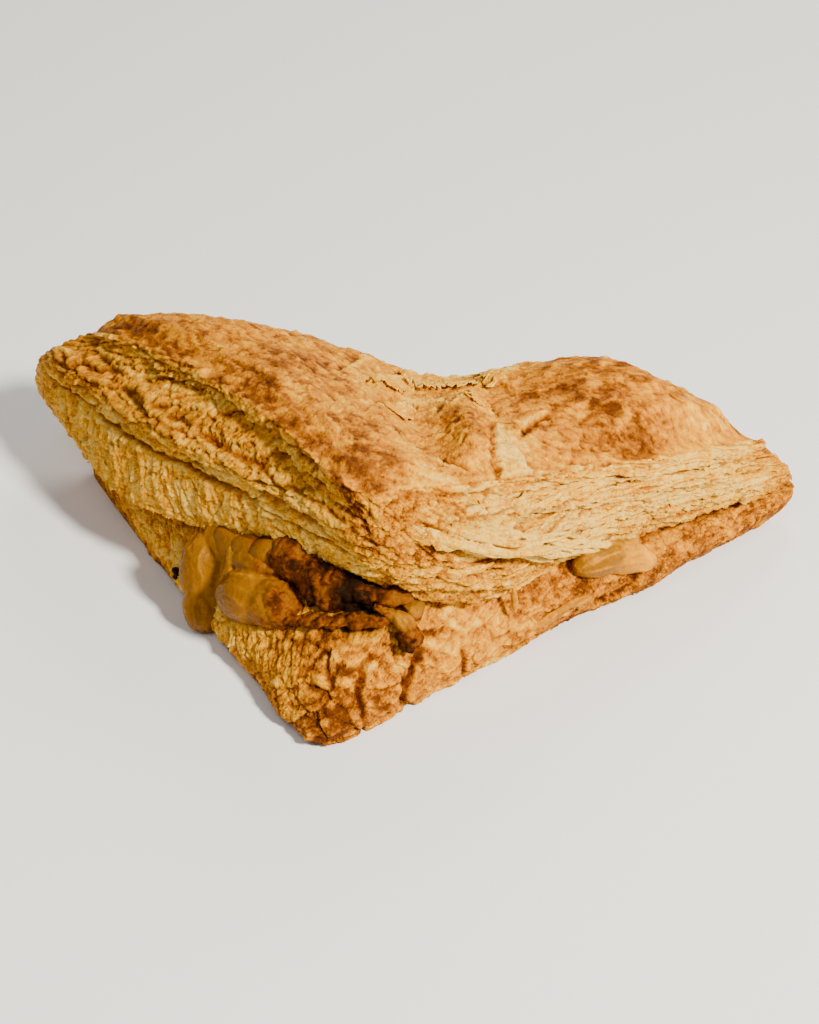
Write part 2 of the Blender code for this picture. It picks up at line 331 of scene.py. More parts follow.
@dataclass(frozen=True)
class Tear:
    """A curve over the plan: the edge of a torn leaf, or a crease.

    The leaf lies to the left of the curve from start to end. Its edge stands up by lift and sinks
    back over reach. A crease has no lift.
    """

    start: Pair
    bend: Pair
    end: Pair
    lift: float
    reach: float
    groove: float = 0.7

    STEPS = 32

    def offsets(self, x: Array, y: Array) -> tuple[Array, Array]:
        """Signed distance from the curve, left of it positive, and the place along it.

        Args:
            x: Places of the plan, in millimetres.
            y: The same places, along Y.

        Returns:
            The distance, positive to the left of the curve, and the place along it, 0 to 1.
        """
        t = np.linspace(0.0, 1.0, self.STEPS + 1)[:, None]
        a, b, c = (np.array(p, float) for p in (self.start, self.bend, self.end))
        curve = curved(a, b, c, t)
        heading = np.gradient(curve, axis=0)
        heading /= np.linalg.norm(heading, axis=1)[:, None]
        dx = x[:, None] - curve[None, :, 0]
        dy = y[:, None] - curve[None, :, 1]
        nearest = np.argmin(dx * dx + dy * dy, axis=1)
        pick = np.arange(len(x))
        dx, dy = dx[pick, nearest], dy[pick, nearest]
        side = heading[nearest, 0] * dy - heading[nearest, 1] * dx
        return np.sign(side) * np.hypot(dx, dy), nearest / self.STEPS

    def leaf(self, gap: Array) -> Array:
        """How much of its lift the leaf has at each signed distance from the curve."""
        return smooth(-0.15, 0.35, gap) * trailing(gap, self.reach)


@dataclass(frozen=True)
class PuffForm:
    """The large forms of the folded pastry, in the same named sizes as the solid part."""

    foot: Level = Level(
        near=(-5.5, -50.8, 0.0), right=(70.5, 34.0, 0.0), left=(-74.0, 24.0, 0.0),
        bow=(-1.3, 5.0, 1.8), near_softness=0.055, bulges=((0.66, 0.14, 1.4, 0.0),),
    )
    lower_belly: Level = Level(
        near=(-5.0, -53.0, 5.0), right=(76.0, 36.0, 5.0), left=(-77.5, 27.5, 6.5),
        bow=(-0.8, 7.0, 1.8), rise=(0.0, 1.5, 0.0), near_softness=0.055,
        bulges=((0.66, 0.14, 1.4, 0.0), (2.88, 0.06, 1.0, 0.0)),
    )
    lip: Level = Level(
        near=(-2.5, -38.0, 16.5), right=(75.0, 37.5, 7.5), left=(-82.0, 30.0, 10.5),
        bow=(-1.0, 8.5, 1.5), rise=(0.5, 4.0, -0.5), near_softness=0.09,
    )
    rim: Level = Level(
        near=(3.0, -31.5, 19.0), right=(74.5, 36.0, 8.5), left=(-86.0, 31.0, 12.5),
        bow=(0.5, 8.5, 8.0), rise=(-1.5, 4.5, 1.0),
        bulges=((0.20, 0.14, 4.0, -2.0), (2.42, 0.20, 4.0, -1.5), (2.80, 0.10, 0.0, 3.0),
                (2.94, 0.075, 0.0, 2.6)),
    )
    belly: Level = Level(
        near=(2.5, -36.0, 28.5), right=(74.0, 36.0, 11.5), left=(-88.0, 32.8, 20.2),
        bow=(2.0, 6.5, 3.5), rise=(1.5, 2.5, 3.0),
        bulges=((0.22, 0.14, 2.5, -1.0), (2.42, 0.20, 2.0, 0.0)),
    )
    shoulder: Level = Level(
        near=(-4.0, -32.0, 41.0), right=(68.5, 34.5, 18.5), left=(-78.5, 32.5, 28.3),
        bow=(4.0, 0.0, -2.5), rise=(1.5, 3.0, 5.0), near_softness=0.06,
    )
    swells: tuple[Patch, ...] = (
        Patch((-43.0, 25.0), (26.0, 12.0), -8.0, 4.6),
        Patch((-22.0, 2.0), (22.0, 11.0), -38.0, 2.5),
        Patch((34.5, 24.0), (20.0, 14.0), -4.0, 9.8),
        Patch((1.0, 24.0), (9.0, 18.0), 0.0, -2.5),
        Patch((12.5, -5.0), (3.6, 17.0), 21.0, 3.2),
        Patch((3.5, -7.0), (4.2, 15.0), 28.0, -2.6),
    )
    crown: float = 2.0
    blend: float = 9.5
    crevice_depth: float = 9.0
    seam_depth: float = 0.9
    crevice_ends: Pair = (0.93, 2.10)
    crevice_fade: float = 0.10
    left_ends: Four = (2.04, 2.16, 2.88, 2.98)
    fringe: Triple = (0.25, 0.17, 2.6)
    fringe_top: float = 0.70
    fringe_fall: Pair = (0.6, 3.2)
    fringe_span: Pair = (0.10, 0.36)
    ledge: Pair = (0.66, 2.6)
    gutter: Pair = (0.86, 2.2)
    fold_round: float = 1.4
    recess: Pair = (0.66, 0.26)

    def outward(self, u: Array) -> Array:
        """Unit vectors in plan that point out of the rim.

        Args:
            u: Places on the edge line.

        Returns:
            The vectors, level, one for each place.
        """
        step = 0.004
        along = (self.rim.line(u + step) - self.rim.line(u - step))[:, :2]
        outward = np.stack([along[:, 1], -along[:, 0], np.zeros(len(along))], 1)
        return outward / np.linalg.norm(outward, axis=1)[:, None]

    def open_share(self, u: Array) -> Array:
        """1 on the two open sides, 0 on the folded back.

        Args:
            u: Places on the edge line.

        Returns:
            How open the side is at each place.
        """
        u = np.asarray(u) % 3.0
        back, front = (smooth(end - self.crevice_fade, end + self.crevice_fade, u)
                       for end in self.crevice_ends)
        return 1.0 - back * (1.0 - front)

    def left_share(self, u: Array) -> Array:
        """1 along the left side, fading at its two ends."""
        u = np.asarray(u) % 3.0
        return smooth(*self.left_ends[:2], u) * (1.0 - smooth(*self.left_ends[2:], u))

    def recessed(self, u: Array) -> Array:
        """1 along the right side's mouth, where the lower lip lies in under the rim in painted shadow.
        """
        return around(u, *self.recess, 4.0)

    def fringe_line(self, u: Array) -> Array:
        """The share of the wall's height at which the torn fringe ends, along the right side.

        Args:
            u: Places on the edge line.

        Returns:
            The share of the height, from the rim up.
        """
        start, length = self.fringe_span
        past = np.clip(np.asarray(u) % 3.0 - start, 0.0, length)
        return self.fringe_top - self.fringe_fall[0] * past - self.fringe_fall[1] * past**2

    def crust_height(self, x: Array, y: Array) -> Array:
        """Height of the top crust over places of the plan.

        Args:
            x: Places of the plan, in millimetres.
            y: The same places, along Y.

        Returns:
            The height at each place.
        """
        near, right, left = (np.array(c[:2]) for c in
                             (self.shoulder.near, self.shoulder.right, self.shoulder.left))
        tall = [self.shoulder.near[2], self.shoulder.right[2], self.shoulder.left[2]]
        area = (right - near)[0] * (left - near)[1] - (left - near)[0] * (right - near)[1]
        to_right = ((x - near[0]) * (left - near)[1] - (left - near)[0] * (y - near[1])) / area
        to_left = ((right - near)[0] * (y - near[1]) - (x - near[0]) * (right - near)[1]) / area
        to_near = 1.0 - to_right - to_left
        height = to_near * tall[0] + to_right * tall[1] + to_left * tall[2] + self.crown
        for side, pair in ((Side.RIGHT, to_near * to_right), (Side.BACK, to_right * to_left),
                           (Side.LEFT, to_left * to_near)):
            height = height + 4.0 * pair * self.shoulder.rise[side.value]
        for swell in self.swells:
            height = height + swell.over(x, y)
        return height

    @staticmethod
    def through(low: Array, middle: Array, high: Array, v: Array) -> Array:
        """The curve that starts at low, passes through middle half way, and ends at high.

        Args:
            low: Where each curve starts.
            middle: Where it passes half way.
            high: Where it ends.
            v: The share of the way along it.

        Returns:
            A point for each curve.
        """
        v = np.asarray(v, float)[..., None]
        pull = 2.0 * middle - 0.5 * (low + high)
        return curved(low, pull, high, v)

    def lower_wall(self, u: Array, v: float) -> Array:
        """The lower layer's side, from its foot to its lip."""
        return self.through(self.foot.line(u), self.lower_belly.line(u), self.lip.line(u), v)

    def upper_wall(self, u: Array, v: float) -> Array:
        """The upper layer's side, from its rim to its shoulder, with its ledge and fringe.

        Args:
            u: Places on the edge line.
            v: The share of the height, one for all places or one for each.

        Returns:
            The points of the side.
        """
        wall = self.through(self.rim.line(u), self.belly.line(u), self.shoulder.line(u), v)
        left = self.left_share(u) * (1.0 - 0.8 * smooth(2.68, 2.86, np.asarray(u) % 3.0))
        height = np.array(v)
        out = left * self.ledge[1] * hump(height, self.ledge[0], 0.10)
        out -= left * self.gutter[1] * hump(height, self.gutter[0], 0.08)
        at, spread, far = self.fringe
        over = height - self.fringe_line(u)
        shelf = smooth(-0.06, 0.0, over) * (1.0 - smooth(0.02, 0.28, over))
        out += around(u, at, spread, 3.0) * (far * shelf - 0.8 * hump(over, -0.12, 0.08))
        folded = (1.0 - self.open_share(u)) * smooth(0.5, 1.0, height)
        wall[:, 2] -= self.fold_round * folded
        return wall + self.outward(u) * (out - 0.8 * self.fold_round * folded)[:, None]

    def crevice(self, u: Array, w: float) -> Array:
        """The crevice's skin, from the lower lip, in and back out to the rim.

        Args:
            u: Places on the edge line.
            w: The share of the way, 0 at the lip and 1 at the rim.

        Returns:
            A ring of points.
        """
        lip, rim, out = self.lower_wall(u, 1.0), self.upper_wall(u, 0.0), self.outward(u)
        depth = self.seam_depth + (self.crevice_depth - self.seam_depth) * self.open_share(u)
        skin = lip + (rim - lip) * w - out * (0.9 * depth * math.sin(math.pi * w) ** 0.7)[:, None]
        ease = 3 * w**2 - 2 * w**3
        skin[:, 2] = lip[:, 2] + (rim[:, 2] - lip[:, 2]) * ease
        return skin

    def top(self, u: Array, share: float) -> Array:
        """The top crust, from the shoulder to the pole.

        Args:
            u: Places on the edge line.
            share: The share of the way in, 0 at the shoulder and 1 at the pole.

        Returns:
            A ring of points.
        """
        edge = self.upper_wall(u, 1.0)
        way_in = np.linalg.norm(edge[:, :2] - POLE, axis=1)
        ring = edge.copy()
        ring[:, :2] += (POLE - edge[:, :2]) * share
        over = smooth(0.0, self.blend, share * way_in)
        ring[:, 2] += over * (self.crust_height(ring[:, 0], ring[:, 1]) - ring[:, 2])
        return ring

    def base(self, u: Array, share: float) -> Array:
        """The flat base, from the foot to the pole.

        Args:
            u: Places on the edge line.
            share: The share of the way in, 0 at the foot and 1 at the pole.

        Returns:
            A ring of points.
        """
        ring = self.foot.line(u)
        ring[:, :2] += (POLE - ring[:, :2]) * share
        ring[:, 2] = 0.0
        return ring


def to_metres(points: Array) -> Array:
    """Points of the plan in metres, about the middle of the plan.

    Args:
        points: Points of the plan, in millimetres.

    Returns:
        The same points as a mesh keeps them.
    """
    moved = np.array(points, float)
    moved[..., :2] -= CENTRE
    return moved * MM


def only(piece: Piece) -> None:
    """Selects this object alone and makes it the active one.

    Args:
        piece: The object.
    """
    bpy.ops.object.select_all(action="DESELECT")
    piece.select_set(True)
    bpy.context.view_layer.objects.active = piece


def started(name: str, primitive: Any, **sizes: Any) -> Piece:
    """Starts a piece from a primitive, with everything else deselected.

    Args:
        name: The piece's name.
        primitive: The operator that adds the primitive.
        sizes: The operator's settings.

    Returns:
        The new object, which is the active one.
    """
    bpy.ops.object.select_all(action="DESELECT")
    primitive(**sizes)
    piece = bpy.context.active_object
    piece.name = name
    piece.data.name = name
    return piece


def points_of(piece: Piece, what: str = "co") -> Array:
    """Reads the places of a piece's vertices, or their normals.

    Args:
        piece: The piece.
        what: "co" for the places, "normal" for the normals.

    Returns:
        One row for each vertex, in metres.
    """
    flat = np.empty(len(piece.data.vertices) * 3)
    piece.data.vertices.foreach_get(what, flat)
    return flat.reshape(-1, 3)


def move_points(piece: Piece, points: Array) -> None:
    """Puts a piece's vertices at new places, in metres."""
    piece.data.vertices.foreach_set("co", points.ravel())


def keep_mark(piece: Piece, name: str, values: Array) -> None:
    """Keeps one number for each vertex, as an attribute that a finish reads."""
    kept = piece.data.attributes.new(name, "FLOAT", "POINT")
    kept.data.foreach_set("value", np.ravel(values).astype(np.float32))


def apply_modifier(piece: Piece, kind: str, **settings: Any) -> None:
    """Adds a modifier to a piece and applies it.

    Args:
        piece: The piece, which is then the only one selected.
        kind: The modifier's type.
        settings: The modifier's properties.
    """
    only(piece)
    modifier = piece.modifiers.new(kind.lower(), kind)
    for name, value in settings.items():
        setattr(modifier, name, value)
    bpy.ops.object.modifier_apply(modifier=modifier.name)


def triangle_count(piece: Piece) -> int:
    """How many triangles a piece has."""
    piece.data.calc_loop_triangles()
    return len(piece.data.loop_triangles)


def closed_skin(name: str, rings: Array, low: Array, high: Array) -> Piece:
    """Rolls a grid up into a closed skin.

    Args:
        name: The piece's name.
        rings: Points by ring and by place round the ring, in millimetres of the plan.
        low: The pole inside the first ring.
        high: The pole beyond the last ring.

    Returns:
        The piece, with faces that point outwards.
    """
    rows, columns = rings.shape[:2]
    piece = started(name, bpy.ops.mesh.primitive_grid_add, x_subdivisions=columns,
                    y_subdivisions=rows + 1, size=2.0, calc_uvs=False)
    flat = points_of(piece)
    row = np.rint((flat[:, 1] + 1.0) / 2.0 * (rows + 1)).astype(int) - 1
    column = np.rint((flat[:, 0] + 1.0) / 2.0 * columns).astype(int) % columns
    place = row * columns + column
    place[row < 0] = rows * columns
    place[row >= rows] = rows * columns + 1
    skin = np.concatenate([rings.reshape(-1, 3), [low, high]])
    move_points(piece, to_metres(skin[place]))
    order = piece.data.attributes.new(ORDER, "INT", "POINT")
    order.data.foreach_set("value", place.astype(np.int32))
    only(piece)
    bpy.ops.object.mode_set(mode="EDIT")
    bpy.ops.mesh.select_all(action="SELECT")
    bpy.ops.mesh.remove_doubles(threshold=1e-7)
    bpy.ops.mesh.normals_make_consistent(inside=False)
    bpy.ops.object.mode_set(mode="OBJECT")
    bpy.ops.object.shade_smooth()
    return piece


def paint(piece: Piece, name: str, values: Array) -> None:
    """Keeps one number for each vertex of a closed skin, as an attribute.

    Args:
        piece: A piece that closed_skin made and that still has all its vertices.
        name: The attribute's name.
        values: Numbers by ring and by place round the ring.
    """
    place = np.empty(len(piece.data.vertices), np.int32)
    piece.data.attributes[ORDER].data.foreach_get("value", place)
    flat = np.concatenate([values.ravel(), [values[0].mean(), values[-1].mean()]])
    keep_mark(piece, name, flat[place])


def thin_out(piece: Piece, most: int) -> None:
    """Drops the order mark, then collapses the edges that matter least.

    Args:
        piece: A piece that closed_skin made.
        most: The most triangles that it may have.
    """
    piece.data.attributes.remove(piece.data.attributes[ORDER])
    count = triangle_count(piece)
    if count > most:
        apply_modifier(piece, "DECIMATE", ratio=most / count)


class Wire:
    """A shader socket on which Python's arithmetic builds Math nodes."""

    def __init__(self, sheet: "Sheet", socket: Any) -> None:
        """Keeps the socket and the sheet that new nodes go on."""
        self.sheet = sheet
        self.socket = socket

    def _math(self, operation: str, first: Any, second: Any, clamp: bool = False) -> "Wire":
        """One Math node on two numbers or wires."""
        settings = {"operation": operation, "use_clamp": clamp}
        return self.sheet.node("ShaderNodeMath", settings, {0: first, 1: second})

    def __add__(self, other: Any) -> "Wire":
        """Self plus other."""
        return self._math("ADD", self, other)

    def __sub__(self, other: Any) -> "Wire":
        """Self minus other."""
        return self._math("SUBTRACT", self, other)

    def __mul__(self, other: Any) -> "Wire":
        """Self times other."""
        return self._math("MULTIPLY", self, other)

    def __rsub__(self, other: Any) -> "Wire":
        """Other minus self."""
        return self._math("SUBTRACT", other, self)

    __radd__ = __add__
    __rmul__ = __mul__

    def clamped(self) -> "Wire":
        """Self kept between 0 and 1."""
        return self._math("ADD", self, 0.0, clamp=True)


class Sheet:
    """The node tree of one material."""

    def __init__(self, name: str) -> None:
        """Starts a material with a Principled shader alone.

        Args:
            name: The material's name.
        """
        self.material = bpy.data.materials.new(name)
        self.material.use_nodes = True
        self.tree = self.material.node_tree
        self.shader = self.tree.nodes["Principled BSDF"]

    def node(self, kind: str, settings: dict[str, Any], values: dict[Any, Any],
             output: Any = 0) -> Wire:
        """Adds a node.

        Args:
            kind: The node's type.
            settings: Properties, set first; "stops" gives a ramp's places and colours.
            values: Numbers, colours or wires for its sockets, by name or number.
            output: The socket that the wire is taken from, by name or number.

        Returns:
            The wire that leaves the node.
        """
        made = self.tree.nodes.new(kind)
        for key, value in settings.items():
            if key != "stops":
                setattr(made, key, value)
                continue
            marks = made.color_ramp.elements
            while len(marks) < len(value):
                marks.new(1.0)
            for mark, (place, colour) in zip(marks, value):
                mark.position = place
                mark.color = colour
        for key, value in values.items():
            self.feed(made.inputs[key], value)
        return Wire(self, made.outputs[output])

    def feed(self, socket: Any, value: Any) -> None:
        """Links a wire to a socket, or sets the socket's own value.

        Args:
            socket: The socket that is fed.
            value: A wire, a number or a colour.
        """
        if isinstance(value, Wire):
            self.tree.links.new(value.socket, socket)
        else:
            socket.default_value = value

    def shade(self, name: str, value: Any) -> None:
        """Sets or links one of the Principled shader's sockets."""
        self.feed(self.shader.inputs[name], value)

    def place(self) -> Wire:
        """Object coordinates, in metres."""
        return self.node("ShaderNodeTexCoord", {}, {}, "Object")

    def mark(self, name: str) -> Wire:
        """A number that the mesh keeps for each vertex."""
        return self.node("ShaderNodeAttribute", {"attribute_name": name}, {}, "Fac")

    def mottle(self, size: float, detail: float = 3.0, rough: float = 0.55,
               twist: float = 0.0) -> Wire:
        """Noise about zero, with features of a size in millimetres.

        Args:
            size: The features' size, in millimetres.
            detail: How many finer sizes are added.
            rough: How strong the finer sizes are.
            twist: How far the pattern is bent.

        Returns:
            A wire from about -0.5 to 0.5.
        """
        values = {"Vector": self.place(), "Scale": 1.0 / (size * MM), "Detail": detail,
                  "Roughness": rough, "Distortion": twist}
        return self.node("ShaderNodeTexNoise", {}, values) - 0.5

    def ramp(self, amount: Wire, stops: list[tuple[float, Colour]]) -> Wire:
        """A colour ramp."""
        return self.node("ShaderNodeValToRGB", {"stops": stops}, {0: amount})

    def blend(self, amount: Any, under: Any, over: Any, how: str = "MIX") -> Wire:
        """One colour laid over another."""
        settings = {"data_type": "RGBA", "blend_type": how}
        return self.node("ShaderNodeMix", settings, {0: amount, 6: under, 7: over}, 2)

    def bump(self, height: Wire, distance: float, strength: float, under: Any = None) -> Wire:
        """A bump whose full height is a distance in millimetres.

        Args:
            height: What stands up, as a share of the distance.
            distance: The full height, in millimetres.
            strength: How much of the bump shows.
            under: The normal that it is laid on, if any.

        Returns:
            The bumped normal.
        """
        values = {"Strength": strength, "Distance": distance * MM, "Height": height}
        if under is not None:
            values["Normal"] = under
        return self.node("ShaderNodeBump", {}, values)


@dataclass(frozen=True)
class PastryFinish:
    """Baked puff pastry: pale leaves, a golden glazed crust, brown where it caught the heat."""

    cream: Colour = (0.95, 0.585, 0.10, 1.0)
    straw: Colour = (0.93, 0.445, 0.01, 1.0)
    golden: Colour = (0.80, 0.332, 0.001, 1.0)
    amber: Colour = (0.61, 0.212, 0.001, 1.0)
    brown: Colour = (0.32, 0.090, 0.001, 1.0)
    umber: Colour = (0.12, 0.028, 0.001, 1.0)
    soot: Colour = (0.014, 0.004, 0.001, 1.0)
    # hollow: the colour that is multiplied in where shade is painted.
    hollow: Colour = (0.42, 0.28, 0.12, 1.0)
    gleam: Colour = (1.0, 0.62, 0.30, 1.0)
    shine: float = 0.14
    matt: float = 0.68

    def material(self) -> bpy.types.Material:
        """Builds the material.

        Returns:
            The material.
        """
        sheet = Sheet("baked_pastry")
        toast, dip, burn = sheet.mark("toast"), sheet.mark("dip"), sheet.mark("burn")
        glaze = sheet.mark("glaze")
        broad = sheet.mottle(4.0, 4.0, 0.62, 0.6)
        fine = sheet.mottle(1.1, 4.0, 0.68, 0.5)
        tiny = sheet.mottle(0.32, 2.0, 0.6)
        spots = (sheet.mottle(2.6, 5.0, 0.62, 0.9) * 8.0 + 0.5).clamped()
        flecks = (sheet.mottle(0.9, 4.0, 0.6, 0.7) * 9.0 + 0.5).clamped()
        dry = 1.0 - glaze * 0.55
        patchy = fine * 0.9 + tiny * 0.6 + spots * 0.20 + flecks * 0.20 - 0.18
        tone = toast + broad + dry * patchy
        colour = sheet.ramp(tone * 0.85, [
            (0.05, self.cream), (0.22, self.straw), (0.38, self.golden),
            (0.56, self.amber), (0.74, self.brown), (0.93, self.umber),
        ])
        # Painted shade: the hollow colour is multiplied in where the mesh marks grooves, gaps, crevices
        # and the undersides of flakes.
        colour = sheet.blend(dip.clamped(), colour, self.hollow, "MULTIPLY")
        colour = sheet.blend((burn + fine * burn).clamped(), colour, self.soot)
        sheet.shade("Base Color", colour)
        sheet.shade("Roughness", self.matt - glaze * 0.36 + fine * 0.3)
        sheet.shade("Specular IOR Level", self.shine)
        sheet.shade("Specular Tint", self.gleam)
        grain = sheet.bump((fine + flecks * 0.12) * dry, 0.85, 0.85)
        sheet.shade("Normal", sheet.bump(tiny, 0.30, 0.8, grain))
        return sheet.material


@dataclass(frozen=True)
class CheeseFinish:
    """Melted cheese: glossy ochre, brown where it crisped and black where it burnt."""

    light: Colour = (0.86, 0.345, 0.001, 1.0)
    ochre: Colour = (0.25, 0.096, 0.001, 1.0)
    deep: Colour = (0.13, 0.043, 0.001, 1.0)
    crisp: Colour = (0.19, 0.042, 0.001, 1.0)
    charred: Colour = (0.055, 0.012, 0.001, 1.0)
    black: Colour = (0.008, 0.002, 0.001, 1.0)
    gleam: Colour = (1.0, 0.66, 0.28, 1.0)
    shine: float = 0.12
    matt: float = 0.24

    def material(self) -> bpy.types.Material:
        """Builds the material.

        Returns:
            The material.
        """
        sheet = Sheet("melted_cheese")
        burn, crest = sheet.mark("burn"), sheet.mark("crest")
        broad = sheet.mottle(3.0, 3.0, 0.5, 0.3)
        fine = sheet.mottle(0.8, 3.0, 0.6, 0.4)
        # The crest mark brings each lobe's own tone and painted highlights on folds, wrinkles and
        # upward faces.
        tone = crest * 0.8 + broad * 0.4 + fine * 0.35
        colour = sheet.ramp(tone, [(0.05, self.deep), (0.45, self.ochre), (0.95, self.light)])
        charred = burn + broad * 0.9 + fine * 0.8
        scorch = sheet.ramp(charred, [(0.45, self.crisp), (0.70, self.charred), (0.95, self.black)])
        share = ((charred - 0.22) * 3.0).clamped()
        sheet.shade("Base Color", sheet.blend(share, colour, scorch))
        sheet.shade("Roughness", self.matt + share * 0.50 + fine * 0.16)
        sheet.shade("Specular IOR Level", self.shine)
        sheet.shade("Specular Tint", self.gleam)
        grain = sheet.bump(fine, 0.45, 0.5)
        sheet.shade("Normal", sheet.bump(sheet.mottle(0.3, 2.0), 0.14, 0.4, grain))
        return sheet.material


@dataclass(frozen=True)
class FloorFinish:
    """A plain pale matt floor."""

    colour: Colour = (0.90, 0.915, 0.955, 1.0)
    matt: float = 0.8

    def material(self) -> bpy.types.Material:
        """Builds the material.

        Returns:
            The material.
        """
        sheet = Sheet("floor")
        sheet.shade("Base Color", self.colour)
        sheet.shade("Roughness", self.matt)
        return sheet.material


class Coat(NamedTuple):
    """A coat of flakes: length and breadth of each, how far it stands out, seed, spread of tone."""

    size: Pair
    depth: float
    seed: int
    tone: float


Coats = tuple[Coat, ...]


@dataclass
class Skin:
    """A closed skin in the making: where each point lies, and what has been done to it.

    The relief pushes out along the surface, the sag pulls down along it, both in millimetres. Base,
    wall, crevice and top are 1 on their own zone and 0 elsewhere.
    """

    rings: Array
    u: Array
    v: Array
    zone: Array
    tall: float
    side_lengths: Triple = (LEG, FOLD, LEG)

    def __post_init__(self) -> None:
        """Finds the surface's directions and lays out its empty fields."""
        round_it = np.roll(self.rings, -1, axis=1) - np.roll(self.rings, 1, axis=1)
        up_it = np.gradient(self.rings, axis=0)
        normal = np.cross(round_it, up_it)
        self.normal = normal / np.maximum(np.linalg.norm(normal, axis=-1), 1e-9)[..., None]
        self.up_it = up_it / np.maximum(np.linalg.norm(up_it, axis=-1), 1e-9)[..., None]
        ends = np.concatenate([[0.0], np.cumsum(self.side_lengths)])
        side = np.minimum(self.u.astype(int), 2)
        self.along = ends[side] + (self.u - side) * np.array(self.side_lengths)[side]
        self.height = self.v * self.tall
        self.base, self.wall, self.crevice, self.top = (
            (self.zone == zone.value) * 1.0 for zone in Zone)
        # One of these marks is painted shade: it darkens the colour in grooves, gaps, crevices and
        # under flakes.
        self.relief, self.sag, self.toast, self.dip, self.burn, self.glaze = (
            np.zeros(self.u.shape) for _ in range(6))

    @classmethod
    def of(cls, u: Array, plan: list[tuple[Zone, float, Array]], tall: float) -> "Skin":
        """Makes a skin from a list of rings.

        Args:
            u: Places round each ring, on the edge line.
            plan: Each ring's zone, its place in the zone and its points.
            tall: The height of the walls along their surface, in millimetres.

        Returns:
            The skin, with nothing laid on it yet.
        """
        shape = (len(plan), len(u))
        rings = np.stack([points for _, _, points in plan])
        v = np.broadcast_to(np.array([place for _, place, _ in plan])[:, None], shape)
        zone = np.broadcast_to(np.array([zone.value for zone, _, _ in plan])[:, None], shape)
        return cls(rings, np.broadcast_to(u, shape), v, zone, tall)

    def leaves(self, share: Array, a: Array, b: Array, *coats: Coat) -> None:
        """Lays coats of overlapping flakes over part of the skin.

        Args:
            share: Where the flakes lie, 0 to 1.
            a: Places along the flakes, in millimetres.
            b: Places across them; each flake stands out most at its low edge.
            coats: The flakes of each coat, the largest first.
        """
        for size, depth, seed, tone in coats:
            ragged_a = a + 0.18 * size[0] * Grain.flat(a, b, size[1] * 1.3, seed + 1)
            ragged_b = b + 0.40 * size[1] * Grain.flat(a, b, size[1] * 1.9, seed + 2)
            flakes = Grain.flakes(ragged_a / size[0], ragged_b / size[1], seed)
            twist = np.sin(flakes.number * 40.0) * flakes.along
            stand = 1.1 * (flakes.number - 0.5) - 0.75 * flakes.across + 0.35 * twist
            gap = 1.0 - smooth(0.01, 0.13, flakes.edge)
            under = smooth(0.1, 0.6, flakes.across)
            self.relief += share * depth * (stand - 0.45 * gap)
            self.sag += share * depth * 0.5 * np.clip(stand, -0.4, 0.9)
            # Painted shade in the gaps between flakes and under each flake's raised low edge.
            self.dip += share * min(1.0, depth) * (0.55 * gap + 0.35 * under)
            self.toast += share * tone * ((flakes.number * 7.3) % 1.0 - 0.5) * 2.0

    def drift(self, size: float, seed: int) -> Array:
        """Noise that changes along a side alone."""
        return Grain.flat(self.along, 0 * self.along, size, seed)

    def cloud(self, size: float, seed: int) -> Array:
        """Noise over a side, along it and up it."""
        return Grain.flat(self.along, self.height, size, seed)

    def groove(self, where: Array, depth: float, shade: float) -> None:
        """Presses a place in by a depth in millimetres, and shades it."""
        self.relief -= depth * where
        # The shade is painted into the colour.
        self.dip += shade * where

    def scorch(self, where: Array, seed: int) -> None:
        """Scorches a place unevenly."""
        self.burn += where * (0.8 + 0.9 * Grain.fractal(self.rings, 3.0, seed, 3))

    def crisp(self, reach: int = 3, lip: float = 0.13, shade: float = 0.40) -> None:
        """Pales what stands out of its surroundings as painted highlight, and paints shade into what
        lies in.

        Args:
            reach: How many places and rings round each point are its surroundings.
            lip: How much paler a lip is, as painted highlight.
            shade: How much darker a hollow is, as painted shade.
        """
        wide = sum(np.roll(self.relief, k, axis=1) for k in range(-reach, reach + 1)) / (2 * reach + 1)
        padded = np.pad(wide, ((reach, reach), (0, 0)), mode="edge")
        rows = len(wide)
        wide = sum(padded[k:k + rows] for k in range(2 * reach + 1)) / (2 * reach + 1)
        raised = np.clip((self.relief - wide) / 0.30, -1.0, 1.0)
        # Painted highlight on raised lips and painted shade in hollows, from the relief against its
        # surroundings.
        self.toast -= lip * raised
        self.dip += shade * np.maximum(-raised, 0.0)

    def made(self, name: str, low: Array, high: Array, most: int) -> Piece:
        """Turns the skin into a dressed piece.

        Args:
            name: The piece's name.
            low: The pole inside the first ring.
            high: The pole beyond the last ring.
            most: The most triangles that the piece may have.

        Returns:
            The piece, with its marks, still without its finish.
        """
        shaped = self.rings + self.normal * self.relief[..., None] - self.up_it * self.sag[..., None]
        shaped[..., 2] = np.maximum(shaped[..., 2], 0.0)
        piece = closed_skin(name, shaped, low, high)
        paint(piece, "toast", self.toast)
        for mark in ("dip", "burn", "glaze"):
            paint(piece, mark, np.clip(getattr(self, mark), 0.0, 1.0))
        thin_out(piece, most)
        return piece


def edge_places(columns: tuple[int, int, int]) -> Array:
    """Places round the edge line, with so many on each side."""
    return np.concatenate([side + np.arange(n) / n for side, n in enumerate(columns)])


